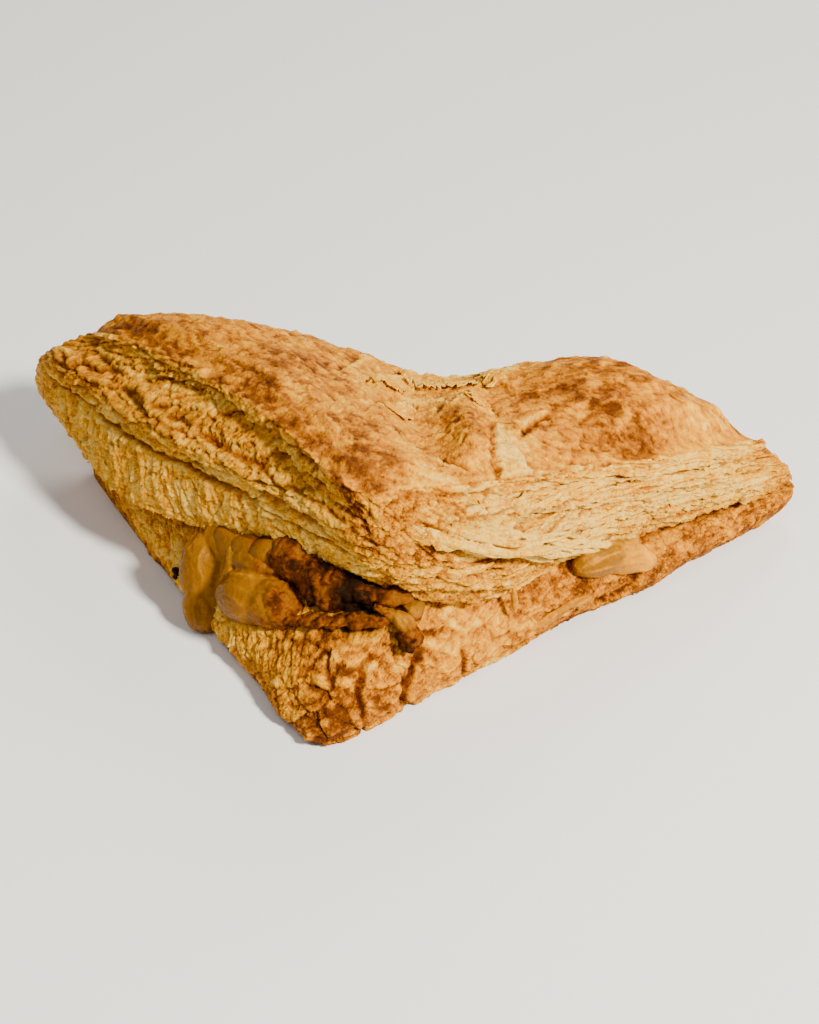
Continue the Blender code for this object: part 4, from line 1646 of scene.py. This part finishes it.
@dataclass
class MeltedCheese:
    """The cheese between the layers, with what has run out and crisped at the open sides."""

    form: PuffForm = PuffForm()
    ends: Pair = (2.17, 3.88)
    melt: Ooze = Ooze(at=2.715, spread=0.110, out=1.5, hang=1.0, puff=0.6, power=2.6)
    crust: Ooze = Ooze(at=2.90, spread=0.10, out=0.8, hang=0.6, puff=0.6, power=3.0)
    burnt: Ooze = Ooze(at=3.00, spread=0.08, out=-0.6, hang=0.6, puff=0.2, power=3.0)
    bead: Ooze = Ooze(at=3.072, spread=0.030, out=1.0, hang=0.6, puff=0.4, power=2.4)
    lump: Ooze = Ooze(at=3.52, spread=0.060, out=2.5, hang=1.0, puff=0.8, power=2.6)
    folds: tuple[Fold, ...] = (
        Fold(-6.0, -5.0, 4.6, 1.0),
        Fold(0.5, 0.5, 3.0, 0.8),
        Fold(6.5, 8.0, 3.4, 1.0),
    )
    set_back: float = 4.0
    nose_reach: float = 1.5
    lowest: float = 0.6
    crisped: Pair = (2.915, 0.085)
    charred: Pair = (3.00, 0.055)
    columns: int = 760
    floor_steps: int = 14
    nose_steps: int = 72
    root: float = 0.24
    most_triangles: int = 120_000

    def _sections(self, u: Array) -> tuple[Array, Array]:
        """Sections of the cheese at each column, and the share of the way down its nose.

        Args:
            u: Places on the edge line.

        Returns:
            The sections' points, by step and by place, and for each step how far down the nose it is.
        """
        lip, rim, out = self.form.lower_wall(u, 1.0), self.form.upper_wall(u, 0.0), self.form.outward(u)
        reach = np.full(len(u), -self.set_back)
        hang, puff = np.zeros(len(u)), np.zeros(len(u))
        for ooze in (self.melt, self.crust, self.burnt, self.bead, self.lump):
            here = around(u, ooze.at, ooze.spread, ooze.power)
            reach = np.maximum(reach, -self.set_back + (ooze.out + self.set_back) * here)
            hang = np.maximum(hang, ooze.hang * here)
            puff = np.maximum(puff, ooze.puff * here)
        taper = smooth(0.0, 0.12, u - u[0]) * smooth(0.0, 0.12, u[-1] - u)
        middle = 0.5 * (lip[:, 2] + rim[:, 2])
        half = 0.5 * np.maximum(rim[:, 2] - lip[:, 2], 1.6) * (0.55 + 0.45 * taper) + 0.5
        edge = 0.5 * (lip + rim)
        front = edge + out * reach[:, None]
        start = edge.copy()
        start[:, :2] = POLE + (edge[:, :2] - POLE) * (self.root + 0.30 * (1.0 - taper))[:, None]
        floor, roof, nose, share = [], [], [], []
        for step in range(self.floor_steps):
            at = start + (front - start) * (step / self.floor_steps)
            low, high = at.copy(), at.copy()
            low[:, 2], high[:, 2] = middle - half, middle + half
            floor.append(low)
            roof.append(high)
        for step in range(self.nose_steps + 1):
            angle = math.pi * (step / self.nose_steps - 0.5)
            at = front + out * ((self.nose_reach + puff) * math.cos(angle))[:, None]
            sink = hang * (0.5 - 0.5 * math.sin(angle))
            at[:, 2] = middle + (half + puff * math.cos(angle)) * math.sin(angle) - sink
            nose.append(at)
            share.append(1.0 - step / self.nose_steps)
        section = np.stack(floor + nose + roof[::-1])
        down = np.array([1.0] * self.floor_steps + share + [0.0] * self.floor_steps)
        return section, down

    def build(self) -> Piece:
        """Makes the cheese.

        Returns:
            The piece, still without its finish.
        """
        u = np.linspace(*self.ends, self.columns)
        section, down = self._sections(u)
        rings = np.swapaxes(section, 0, 1)
        rows, count = rings.shape[:2]
        place = np.broadcast_to(u[:, None], (rows, count))
        fall = np.broadcast_to(down[None, :], (rows, count))
        skin = Skin(rings, place % 3.0, fall, np.zeros((rows, count)), 10.0)
        inner = rings.mean(axis=1, keepdims=True)
        normal = skin.normal * np.sign(np.sum((rings - inner) * skin.normal, axis=-1).mean())
        across = (place - self.melt.at) * LEG
        bare = around(place, self.melt.at, self.melt.spread * 1.15, 6.0)
        index = np.arange(count)
        shown = smooth(self.floor_steps - 5.0, self.floor_steps + 3.0, index)
        shown = shown * smooth(self.floor_steps + self.nose_steps + 8.0,
                               self.floor_steps + self.nose_steps - 2.0, index)
        nose = np.broadcast_to(shown[None, :], (rows, count))
        wander = 1.4 * Grain.noise(rings, 8.0, 151) + 0.5 * Grain.noise(rings, 3.0, 152)
        folded = np.zeros((rows, count))
        for fold in self.folds:
            centre = fold.top + (fold.bottom - fold.top) * fall + wander
            body = np.clip(1.0 - ((across - centre) / fold.width) ** 2, 0.0, 1.0) ** 0.6
            folded = np.maximum(folded, fold.height * body)
        relief = nose * bare * folded
        pulls = Grain.flat(across / 1.8 + wander, fall * 2.5, 1.0, 155)
        relief += nose * bare * pulls * 0.12
        crusty, hollow = around(place, *self.crisped, 4.0), around(place, *self.charred, 4.0)
        rough = Grain.fractal(rings, 3.5, 157, 4)
        bubble = Grain.flakes(across / 2.0, fall * 4.0, 159)
        relief += nose * crusty * (rough * 1.9 + (0.5 - bubble.near) * 1.2)
        relief += nose * hollow * (rough * 1.3 - 0.6)
        relief += nose * (1.0 - bare) * Grain.fractal(rings, 2.0, 161, 3) * 0.45
        shaped = rings + normal * relief[..., None]
        shaped[..., 2] = np.maximum(shaped[..., 2], self.lowest)

        burn = crusty * (0.62 + 0.5 * rough) + 1.15 * hollow
        burn = burn + 0.5 * around(place, self.bead.at + 0.012, 0.024) * smooth(0.3, 0.7, fall)
        burn = burn + 0.75 * bare * smooth(7.0, 13.0, across) + 0.5 * bare * hump(fall, 1.0, 0.10)
        # Burnt and painted shadow: the cheese's top face is darker just under the rim.
        burn = burn + 0.5 * bare * hump(across, 4.0, 3.5) * smooth(0.35, 0.1, fall)
        # Paler on the raised folds, as painted highlight, and on the lump and the bead, as their own
        # tone.
        crest = 0.25 + 0.22 * bare * folded + 0.55 * around(place, self.lump.at, 0.09)
        crest = crest + 0.3 * around(place, self.bead.at, 0.03)
        piece = closed_skin("melted_cheese", shaped, shaped[0].mean(axis=0), shaped[-1].mean(axis=0))
        paint(piece, "burn", np.clip(burn, 0.0, MOST_MARK))
        paint(piece, "crest", np.clip(crest, 0.0, MOST_MARK))
        thin_out(piece, self.most_triangles)
        return piece


@dataclass(frozen=True)
class Lobe:
    """One rounded lobe of run-out cheese.

    Its length lies along heading, and its breadth and thickness lie across it. The burn goes from
    one number at the start of its length to another at the end.
    """

    centre: Triple
    radii: Triple
    heading: Triple
    crest: float
    burn: Pair = (0.0, 0.0)
    bend: float = 0.0

    def axes(self) -> Array:
        """The directions of its length, breadth and thickness, as rows.

        Returns:
            Three unit vectors.
        """
        along = np.array(self.heading, float)
        along /= np.linalg.norm(along)
        side = np.cross([0.1, 0.2, 1.0], along)
        side /= np.linalg.norm(side)
        return np.stack([along, side, np.cross(along, side)])

    def local(self, points: Array) -> Array:
        """Points in the lobe's own directions, from its centre.

        Args:
            points: Points of the plan, in millimetres.

        Returns:
            The places along its length, breadth and thickness.
        """
        turned_points = (points - np.array(self.centre)) @ self.axes().T
        turned_points[:, 2] += self.bend * (turned_points[:, 0] / self.radii[0]) ** 2
        return turned_points

    def ball(self) -> Piece:
        """Makes the plain lobe.

        Returns:
            A bent ball, at its place.
        """
        piece = started("lobe", bpy.ops.mesh.primitive_ico_sphere_add, subdivisions=5, radius=1.0)
        local = points_of(piece) * np.array(self.radii)
        local[:, 2] -= self.bend * (local[:, 0] / self.radii[0]) ** 2
        move_points(piece, to_metres(local @ self.axes() + np.array(self.centre)))
        return piece


@dataclass(frozen=True)
class RunOut:
    """Lobes of cheese that have run together into one piece.

    The wrinkles lie along the lobes and the crumbs roughen them, both by their depth in
    millimetres. The crumbs are deepest where the cheese is burnt.
    """

    name: str
    lobes: tuple[Lobe, ...]
    voxel: float = 0.30
    soften: int = 8
    wrinkle: float = 0.35
    crumb: float = 0.25
    grain: float = 2.4
    seed: int = 1

    SMOOTHING = 0.6
    FADING = 3.5
    STRETCH = (0.13, 1.0, 1.0)
    LOWEST = 0.4

    def _joined(self) -> Piece:
        """Joins the lobes into one soft skin.

        Returns:
            The piece, smooth as yet.
        """
        balls = [lobe.ball() for lobe in self.lobes]
        piece = balls[0]
        only(piece)
        for ball in balls:
            ball.select_set(True)
        if len(balls) > 1:
            bpy.ops.object.join()
        piece.name = self.name
        piece.data.name = self.name
        piece.data.remesh_voxel_size = self.voxel * MM
        bpy.ops.object.voxel_remesh()
        apply_modifier(piece, "SMOOTH", factor=self.SMOOTHING, iterations=self.soften)
        return piece

    def _blended(self, points: Array) -> tuple[Array, Array, Array]:
        """What the lobes give to the places near them.

        Args:
            points: Points of the plan, in millimetres.

        Returns:
            The wrinkles' ridges, how burnt the cheese is, and how pale, at each point.
        """
        total = np.full(len(points), 1e-9)
        ridge, burn, crest = (np.zeros(len(points)) for _ in range(3))
        for k, lobe in enumerate(self.lobes):
            local = lobe.local(points)
            share = np.exp(-self.FADING * np.linalg.norm(local / np.array(lobe.radii), axis=1) ** 2)
            line = local * np.array(self.STRETCH)
            line = line + 0.7 * Grain.noise(points, 4.0, self.seed + k)[:, None]
            crests = (1.0 - np.abs(Grain.noise(line, 2.3, self.seed + 3 + k))) ** 4
            crests = crests + 0.5 * (1.0 - np.abs(Grain.noise(line, 1.0, self.seed + 5 + k))) ** 3
            way = smooth(-lobe.radii[0], lobe.radii[0], local[:, 0])
            total += share
            ridge += share * crests
            burn += share * (lobe.burn[0] + (lobe.burn[1] - lobe.burn[0]) * way)
            crest += share * lobe.crest
        return ridge / total, burn / total, crest / total

    def build(self) -> Piece:
        """Makes the piece: balls joined, remeshed into one skin, softened and wrinkled.

        Returns:
            The piece, still without its finish.
        """
        piece = self._joined()
        points, normals = points_of(piece) / MM, points_of(piece, "normal")
        points[:, :2] += CENTRE
        ridge, burn, crest = self._blended(points)
        crumbs = Grain.fractal(points, self.grain, self.seed + 7, 4)
        pits = Grain.fractal(points, 0.9, self.seed + 9, 2)
        charred = smooth(0.15, 0.6, burn)
        pushed = self.wrinkle * (ridge - 0.6) * (1.0 - charred)
        pushed = pushed + (self.crumb + 1.5 * charred) * crumbs + 0.45 * charred * pits
        shaped = points + normals * pushed[:, None]
        shaped[:, 2] = np.maximum(shaped[:, 2], self.LOWEST)
        move_points(piece, to_metres(shaped))
        # Paler along the wrinkles' ridges, as painted highlight, and on faces that point up, as painted
        # top light.
        crest = crest + 0.30 * (ridge - 0.5) + 0.12 * normals[:, 2]
        keep_mark(piece, "burn", np.clip(burn + 0.55 * charred * crumbs, 0.0, MOST_MARK))
        keep_mark(piece, "crest", np.clip(crest, 0.0, MOST_MARK))
        only(piece)
        bpy.ops.object.shade_smooth()
        return piece


RUN_OUTS = (
    RunOut("cheese_folds", (
        Lobe((-35.4, -19.0, 10.0), (7.4, 4.6, 4.3), (0.12, -0.45, -1.0), 0.34),
        Lobe((-34.6, -22.4, 4.6), (5.2, 4.2, 3.7), (0.10, -0.45, -1.0), 0.32),
        Lobe((-31.8, -20.4, 9.6), (7.2, 3.8, 3.3), (0.05, -0.50, -1.0), 0.20),
        Lobe((-30.8, -15.6, 15.2), (6.4, 5.0, 3.4), (0.60, -0.70, -0.25), 0.34),
        Lobe((-29.0, -21.8, 13.2), (7.0, 2.2, 3.8), (-0.05, -0.55, -1.0), 0.46),
        Lobe((-22.8, -21.6, 16.6), (7.4, 5.4, 3.2), (0.85, -0.45, 0.10), 0.22, (0.0, 0.45)),
        Lobe((-24.4, -27.2, 12.2), (7.0, 5.6, 5.2), (0.75, -0.50, 0.30), 0.36, (0.0, 0.10), 1.0),
        Lobe((-19.6, -29.8, 13.2), (6.6, 4.8, 4.4), (0.85, -0.45, 0.20), 0.28, (0.0, 0.55), 0.8),
    ), voxel=0.26, soften=12, wrinkle=0.32, crumb=0.20, seed=3),
    RunOut("crisped_lump", (
        Lobe((-15.4, -25.4, 20.0), (6.4, 3.4, 4.4), (0.92, -0.30, -0.15), 0.2, (0.40, 0.62)),
        Lobe((-9.6, -28.4, 18.6), (5.0, 3.2, 3.4), (0.90, -0.30, -0.20), 0.2, (0.62, 1.25)),
        Lobe((-4.6, -30.6, 19.6), (5.4, 2.4, 1.9), (0.98, -0.12, 0.0), 0.15, (1.20, 0.80)),
        Lobe((2.4, -31.4, 19.2), (4.4, 1.9, 1.4), (0.98, 0.05, 0.0), 0.2, (0.60, 0.36)),
    ), voxel=0.28, soften=4, wrinkle=0.2, crumb=0.2, grain=3.0, seed=13),
    RunOut("burnt_edge", (
        Lobe((-15.2, -32.8, 12.6), (4.2, 2.2, 1.1), (0.80, -0.50, 0.50), 0.1, (0.36, 0.48)),
        Lobe((-8.6, -35.4, 15.2), (5.2, 2.4, 1.0), (0.95, -0.25, 0.20), 0.1, (0.48, 0.66)),
        Lobe((-2.0, -35.6, 16.4), (5.0, 2.2, 0.9), (0.98, 0.05, 0.05), 0.1, (0.66, 0.40)),
    ), voxel=0.26, soften=3, wrinkle=0.1, crumb=0.1, grain=2.2, seed=15),
    RunOut("cheese_bead", (
        Lobe((2.6, -33.6, 17.2), (3.0, 1.3, 1.2), (0.90, -0.15, -0.30), 0.36, (0.60, 0.28)),
        Lobe((5.6, -34.2, 16.2), (2.6, 1.7, 1.6), (0.75, -0.30, -0.60), 0.55, (0.18, 0.38)),
        Lobe((6.9, -35.6, 13.8), (2.3, 2.1, 2.2), (-0.45, -0.35, -0.85), 0.30, (0.42, 0.95)),
    ), voxel=0.22, soften=5, wrinkle=0.2, crumb=0.15, seed=21),
    RunOut("orange_lump", (
        Lobe((37.2, -2.6, 11.4), (6.6, 3.4, 3.6), (0.72, 0.69, -0.05), 0.52),
        Lobe((41.4, 0.6, 9.6), (6.0, 3.0, 3.2), (0.75, 0.62, -0.26), 0.78),
        Lobe((44.2, 2.4, 8.2), (3.6, 2.4, 2.4), (0.75, 0.60, -0.30), 0.92),
    ), voxel=0.30, soften=14, wrinkle=0.07, crumb=0.10, seed=23),
    RunOut("yellow_drip", (
        Lobe((23.3, -20.3, 13.0), (2.8, 0.62, 0.6), (0.10, -0.10, -1.0), 0.80),
    ), voxel=0.14, soften=2, wrinkle=0.05, crumb=0.1, seed=25),
    RunOut("cheese_strip", (
        Lobe((29.6, -14.6, 5.6), (4.6, 1.0, 0.8), (0.80, 0.55, 0.30), 0.62),
        Lobe((34.0, -11.4, 7.2), (3.4, 0.9, 0.8), (0.85, 0.50, 0.15), 0.60),
    ), voxel=0.20, soften=3, wrinkle=0.15, crumb=0.25, seed=27),
    RunOut("burnt_speck", (
        Lobe((-42.2, -14.6, 5.0), (1.3, 0.8, 0.8), (0.2, -0.3, -1.0), 0.0, (0.9, 1.0)),
    ), voxel=0.16, soften=1, wrinkle=0.0, crumb=0.1, grain=1.2, seed=29),
)


def solid_sheet(piece: Piece, thickness: float) -> None:
    """Gives a thin sheet its thickness, in millimetres, and smooth shading."""
    apply_modifier(piece, "SOLIDIFY", thickness=thickness * MM, offset=0.0)
    bpy.ops.object.shade_smooth()


@dataclass(frozen=True)
class Shreds:
    """Thin torn shreds of leaf that stand off a side, each by its root, heading and length."""

    name: str
    count: int
    u: Pair
    v: Pair
    heading: float
    stray: float
    length: Pair
    width: Pair
    lift: float
    toast: Pair
    seed: int
    steps: int = 12
    thickness: float = 0.18
    most_leap: float = 3.0
    rise: float = 0.25
    sunk: float = 0.25
    on_fringe: bool = False

    def build(self, form: PuffForm, ground: Piece) -> Piece:
        """Makes all the shreds as one piece.

        Args:
            form: The pastry's large forms.
            ground: The dressed layer that the shreds grow out of.

        Returns:
            The piece, still without its finish.
        """
        dice = np.random.default_rng(self.seed)
        shape = (self.count, 1)
        t = np.linspace(0.0, 1.0, self.steps)[None, :]
        turn = np.radians(self.heading + self.stray * dice.normal(size=shape))
        turn = turn + 0.10 * np.sin(t * 3.0 + dice.uniform(0.0, 6.0, shape))
        far = t * dice.uniform(*self.length, shape)
        u = dice.uniform(*self.u, shape) + far * np.cos(turn) / LEG
        start = form.fringe_line(u[:, :1]) if self.on_fringe else 0.0
        v = np.clip(start + dice.uniform(*self.v, shape) + far * np.sin(turn) / WALL_HEIGHT, 0.0, 1.0)
        root = to_metres(form.upper_wall(u.ravel(), v.ravel()))
        found = [ground.closest_point_on_mesh(Vector(spot)) for spot in root]
        line = np.array([hit[1] for hit in found]).reshape(*u.shape, 3)
        away = form.outward(u.ravel()) + np.array([0.0, 0.0, self.rise])
        out = (to_metres(away) - to_metres(np.zeros(3))).reshape(*u.shape, 3)
        lift = -self.sunk + (self.sunk + self.lift * dice.uniform(0.3, 1.0, shape)) * t**1.5
        leap = np.linalg.norm(np.diff(line, axis=1), axis=-1).max(axis=1)
        line = np.where((leap < self.most_leap * MM)[:, None, None], line, line[:, :1])
        line[:, 1:-1] = 0.25 * line[:, :-2] + 0.5 * line[:, 1:-1] + 0.25 * line[:, 2:]
        line = line + out * lift[..., None]
        side = np.cross(np.gradient(line, axis=1), out)
        side /= np.maximum(np.linalg.norm(side, axis=-1), 1e-12)[..., None]
        ragged = 1.0 + 0.22 * dice.normal(size=u.shape)
        half = 0.5 * MM * dice.uniform(*self.width, shape)
        half = half * np.sqrt(np.clip(1.03 - t**2, 0.0, 1.0)) * ragged
        tilt = side + 0.35 * dice.normal(size=(self.count, 1, 1)) * out / MM
        edges = np.stack([line - tilt * half[..., None], line + tilt * half[..., None]], 2)
        index = np.arange(self.count * self.steps * 2).reshape(self.count, self.steps, 2)
        faces = np.stack([index[:, :-1, 0], index[:, 1:, 0], index[:, 1:, 1], index[:, :-1, 1]], -1)
        mesh = bpy.data.meshes.new(self.name)
        mesh.from_pydata(edges.reshape(-1, 3).tolist(), [], faces.reshape(-1, 4).tolist())
        piece = bpy.data.objects.new(self.name, mesh)
        bpy.context.scene.collection.objects.link(piece)
        tone = np.broadcast_to(dice.uniform(*self.toast, shape)[..., None], edges.shape[:3])
        keep_mark(piece, "toast", tone)
        solid_sheet(piece, self.thickness)
        return piece


SHREDS = (
    Shreds("torn_fringe", 40, (0.08, 0.34), (0.00, 0.12), -19.0, 4.0, (8.0, 18.0), (0.7, 1.9),
           3.2, (-0.12, 0.18), 31, on_fringe=True),
    Shreds("right_leaf_edges", 48, (0.10, 0.80), (0.30, 0.95), 0.0, 2.5, (8.0, 20.0), (0.8, 2.0),
           0.6, (0.05, 0.36), 33),
    Shreds("rim_threads", 70, (2.25, 3.10), (0.00, 0.05), -50.0, 30.0, (0.8, 2.2), (0.3, 0.9),
           0.6, (0.10, 0.40), 39),
)


@dataclass(frozen=True)
class Flap:
    """A thin torn leaf of the top crust.

    It lies from its root towards its heading, in degrees of the plan. Its free edge is ragged and
    stands off the crust by its lift.
    """

    root: Pair
    heading: float
    length: float
    breadth: float
    lift: float
    toast: float
    seed: int

    COLUMNS = 30
    ROWS = 22
    THICKNESS = 0.22
    ABOVE = 0.08
    MISSED = 1.0

    def build(self, ground: Piece) -> Piece:
        """Makes the flap.

        Args:
            ground: The dressed layer that it lies on.

        Returns:
            The piece, still without its finish.
        """
        piece = started(f"torn_leaf_{self.seed}", bpy.ops.mesh.primitive_grid_add,
                        x_subdivisions=self.COLUMNS, y_subdivisions=self.ROWS, size=2.0)
        grid = points_of(piece)
        across, along = grid[:, 0], 0.5 + 0.5 * grid[:, 1]
        zero = np.zeros(len(across))
        rags = Grain.flat(across * 4.0, zero, 1.0, self.seed)
        rags = rags + 0.5 * Grain.flat(across * 14.0, zero, 1.0, self.seed + 50)
        reach = self.length * along * (1.0 - 0.25 * across**2 + 0.35 * rags)
        sides = Grain.flat(along * 3.0, np.sign(across) * 2.0, 1.0, self.seed + 90)
        width = 0.5 * self.breadth * across * (0.75 + 0.25 * along + 0.30 * sides)
        heading = math.radians(self.heading)
        x = self.root[0] + reach * math.cos(heading) - width * math.sin(heading)
        y = self.root[1] + reach * math.sin(heading) + width * math.cos(heading)
        flat = to_metres(np.stack([x, y, zero], -1))
        down = Vector((0.0, 0.0, -1.0))
        hits = [ground.ray_cast(Vector((px, py, self.ABOVE)), down) for px, py, _ in flat]
        high = np.array([hit[1][2] if hit[0] else self.MISSED for hit in hits])
        high = np.where(high < self.MISSED, high, high.min())
        wave = 0.35 * Grain.flat(x, y, 3.0, self.seed + 70)
        rise = -0.35 + (0.35 + self.lift) * along**1.3 * (1.0 + wave) + 0.12 * (1.0 - across**2)
        flat[:, 2] = high + rise * MM
        move_points(piece, flat)
        tone = self.toast - 0.20 * along**6 + 0.10 * Grain.flat(x, y, 1.6, self.seed + 30)
        keep_mark(piece, "toast", tone)
        keep_mark(piece, "glaze", zero + 0.5)
        solid_sheet(piece, self.THICKNESS)
        return piece


FLAPS = (
    Flap((-7.5, 15.0), -70.0, 6.5, 7.0, 0.7, 0.34, 1),
    Flap((-2.8, 21.0), -58.0, 7.0, 8.0, 0.8, 0.26, 3),
    Flap((-5.0, 3.5), -48.0, 7.0, 5.5, 0.5, 0.46, 4),
    Flap((6.5, 23.0), -95.0, 6.5, 9.0, 0.7, 0.28, 6),
    Flap((14.5, 22.0), -150.0, 6.0, 8.0, 0.7, 0.28, 7),
    Flap((14.5, 11.0), -165.0, 5.5, 9.0, 0.6, 0.46, 8),
)


class Lamp(NamedTuple):
    """A soft round area light: its turn and tilt in degrees, distance, size, power and colour."""

    name: str
    turn: float
    tilt: float
    away: float
    size: float
    power: float
    colour: Triple


@dataclass
class Studio:
    """The floor, the lights and the camera."""

    turn: float = 11.0
    tilt: float = 36.0
    distance: float = 0.380
    lens: float = 70.2
    aim: Triple = (0.0, 0.0, 15.0)
    sensor: float = 36.0
    floor_span: float = 3.0
    sky: Colour = (1.0, 0.95, 0.87, 1.0)
    sky_strength: float = 0.25
    lamps: tuple[Lamp, ...] = (
        Lamp("key", 58.0, 42.0, 0.9, 0.14, 20.0, (1.0, 0.93, 0.78)),
        Lamp("fill", -30.0, 60.0, 1.0, 0.6, 2.0, (1.0, 0.95, 0.88)),
        Lamp("back", 178.0, 36.0, 1.0, 0.4, 4.5, (1.0, 0.93, 0.80)),
    )

    def _toward(self, turn: float, tilt: float) -> Vector:
        """The unit vector from the object to a place at that turn and tilt, in degrees."""
        a, e = math.radians(turn), math.radians(tilt)
        return Vector((math.sin(a) * math.cos(e), -math.cos(a) * math.cos(e), math.sin(e)))

    def floor(self) -> None:
        """Lays the floor."""
        ground = started("floor", bpy.ops.mesh.primitive_plane_add, size=self.floor_span)
        ground.data.materials.append(FloorFinish().material())

    def hang(self, lamp: Lamp) -> None:
        """Hangs one lamp, pointing at the pastry.

        Args:
            lamp: Where it hangs and how it shines.
        """
        light = bpy.data.lights.new(lamp.name, "AREA")
        light.shape = "DISK"
        light.size = lamp.size
        light.energy = lamp.power
        light.color = lamp.colour
        hung = bpy.data.objects.new(lamp.name, light)
        toward = self._toward(lamp.turn, lamp.tilt)
        hung.location = toward * lamp.away
        hung.rotation_euler = toward.to_track_quat("Z", "Y").to_euler()
        bpy.context.scene.collection.objects.link(hung)

    def camera(self) -> None:
        """Places the camera at the photograph's viewing angle."""
        data = bpy.data.cameras.new("camera")
        data.lens = self.lens
        data.sensor_width = self.sensor
        camera = bpy.data.objects.new("camera", data)
        aim = Vector(to_metres(np.array(self.aim)))
        toward = self._toward(self.turn, self.tilt)
        camera.location = aim + toward * self.distance
        camera.rotation_euler = toward.to_track_quat("Z", "Y").to_euler()
        bpy.context.scene.collection.objects.link(camera)
        bpy.context.scene.camera = camera

    def light(self) -> None:
        """Sets the sky and the lights: the key from the right and above."""
        world = bpy.data.worlds.new("studio")
        world.use_nodes = True
        background = world.node_tree.nodes["Background"]
        background.inputs["Color"].default_value = self.sky
        background.inputs["Strength"].default_value = self.sky_strength
        bpy.context.scene.world = world
        for lamp in self.lamps:
            self.hang(lamp)


def place_on(piece: Piece, node: str, slot: str, finish: bpy.types.Material) -> None:
    """Puts a piece on the body, hides the solid that it stands for, and gives it its finish.

    Args:
        piece: The finished piece.
        node: The solid that it stands for.
        slot: The solid's material slot; not used.
        finish: The material.
    """
    piece.data.materials.clear()
    piece.data.materials.append(finish)
    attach(piece, "root")
    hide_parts(node)
    log.info("%s: %d triangles", piece.name, triangle_count(piece))


def main() -> None:
    """Builds the pastry, its cheese and the studio, and notes the sizes."""
    logging.basicConfig(level=logging.INFO, format="%(asctime)s %(name)s %(message)s")
    studio = Studio()
    studio.camera()
    studio.floor()
    studio.light()
    pastry = ("folded_pastry", "baked_pastry", PastryFinish().material())
    cheese = ("cheese_filling", "melted_cheese", CheeseFinish().material())
    upper = UpperLayer().build()
    place_on(upper, *pastry)
    place_on(LowerLayer().build(), *pastry)
    for shreds in SHREDS:
        place_on(shreds.build(PuffForm(), upper), *pastry)
    for flap in FLAPS:
        place_on(flap.build(upper), *pastry)
    place_on(MeltedCheese().build(), *cheese)
    for run_out in RUN_OUTS:
        place_on(run_out.build(), *cheese)


if __name__ == "__main__":
    main()
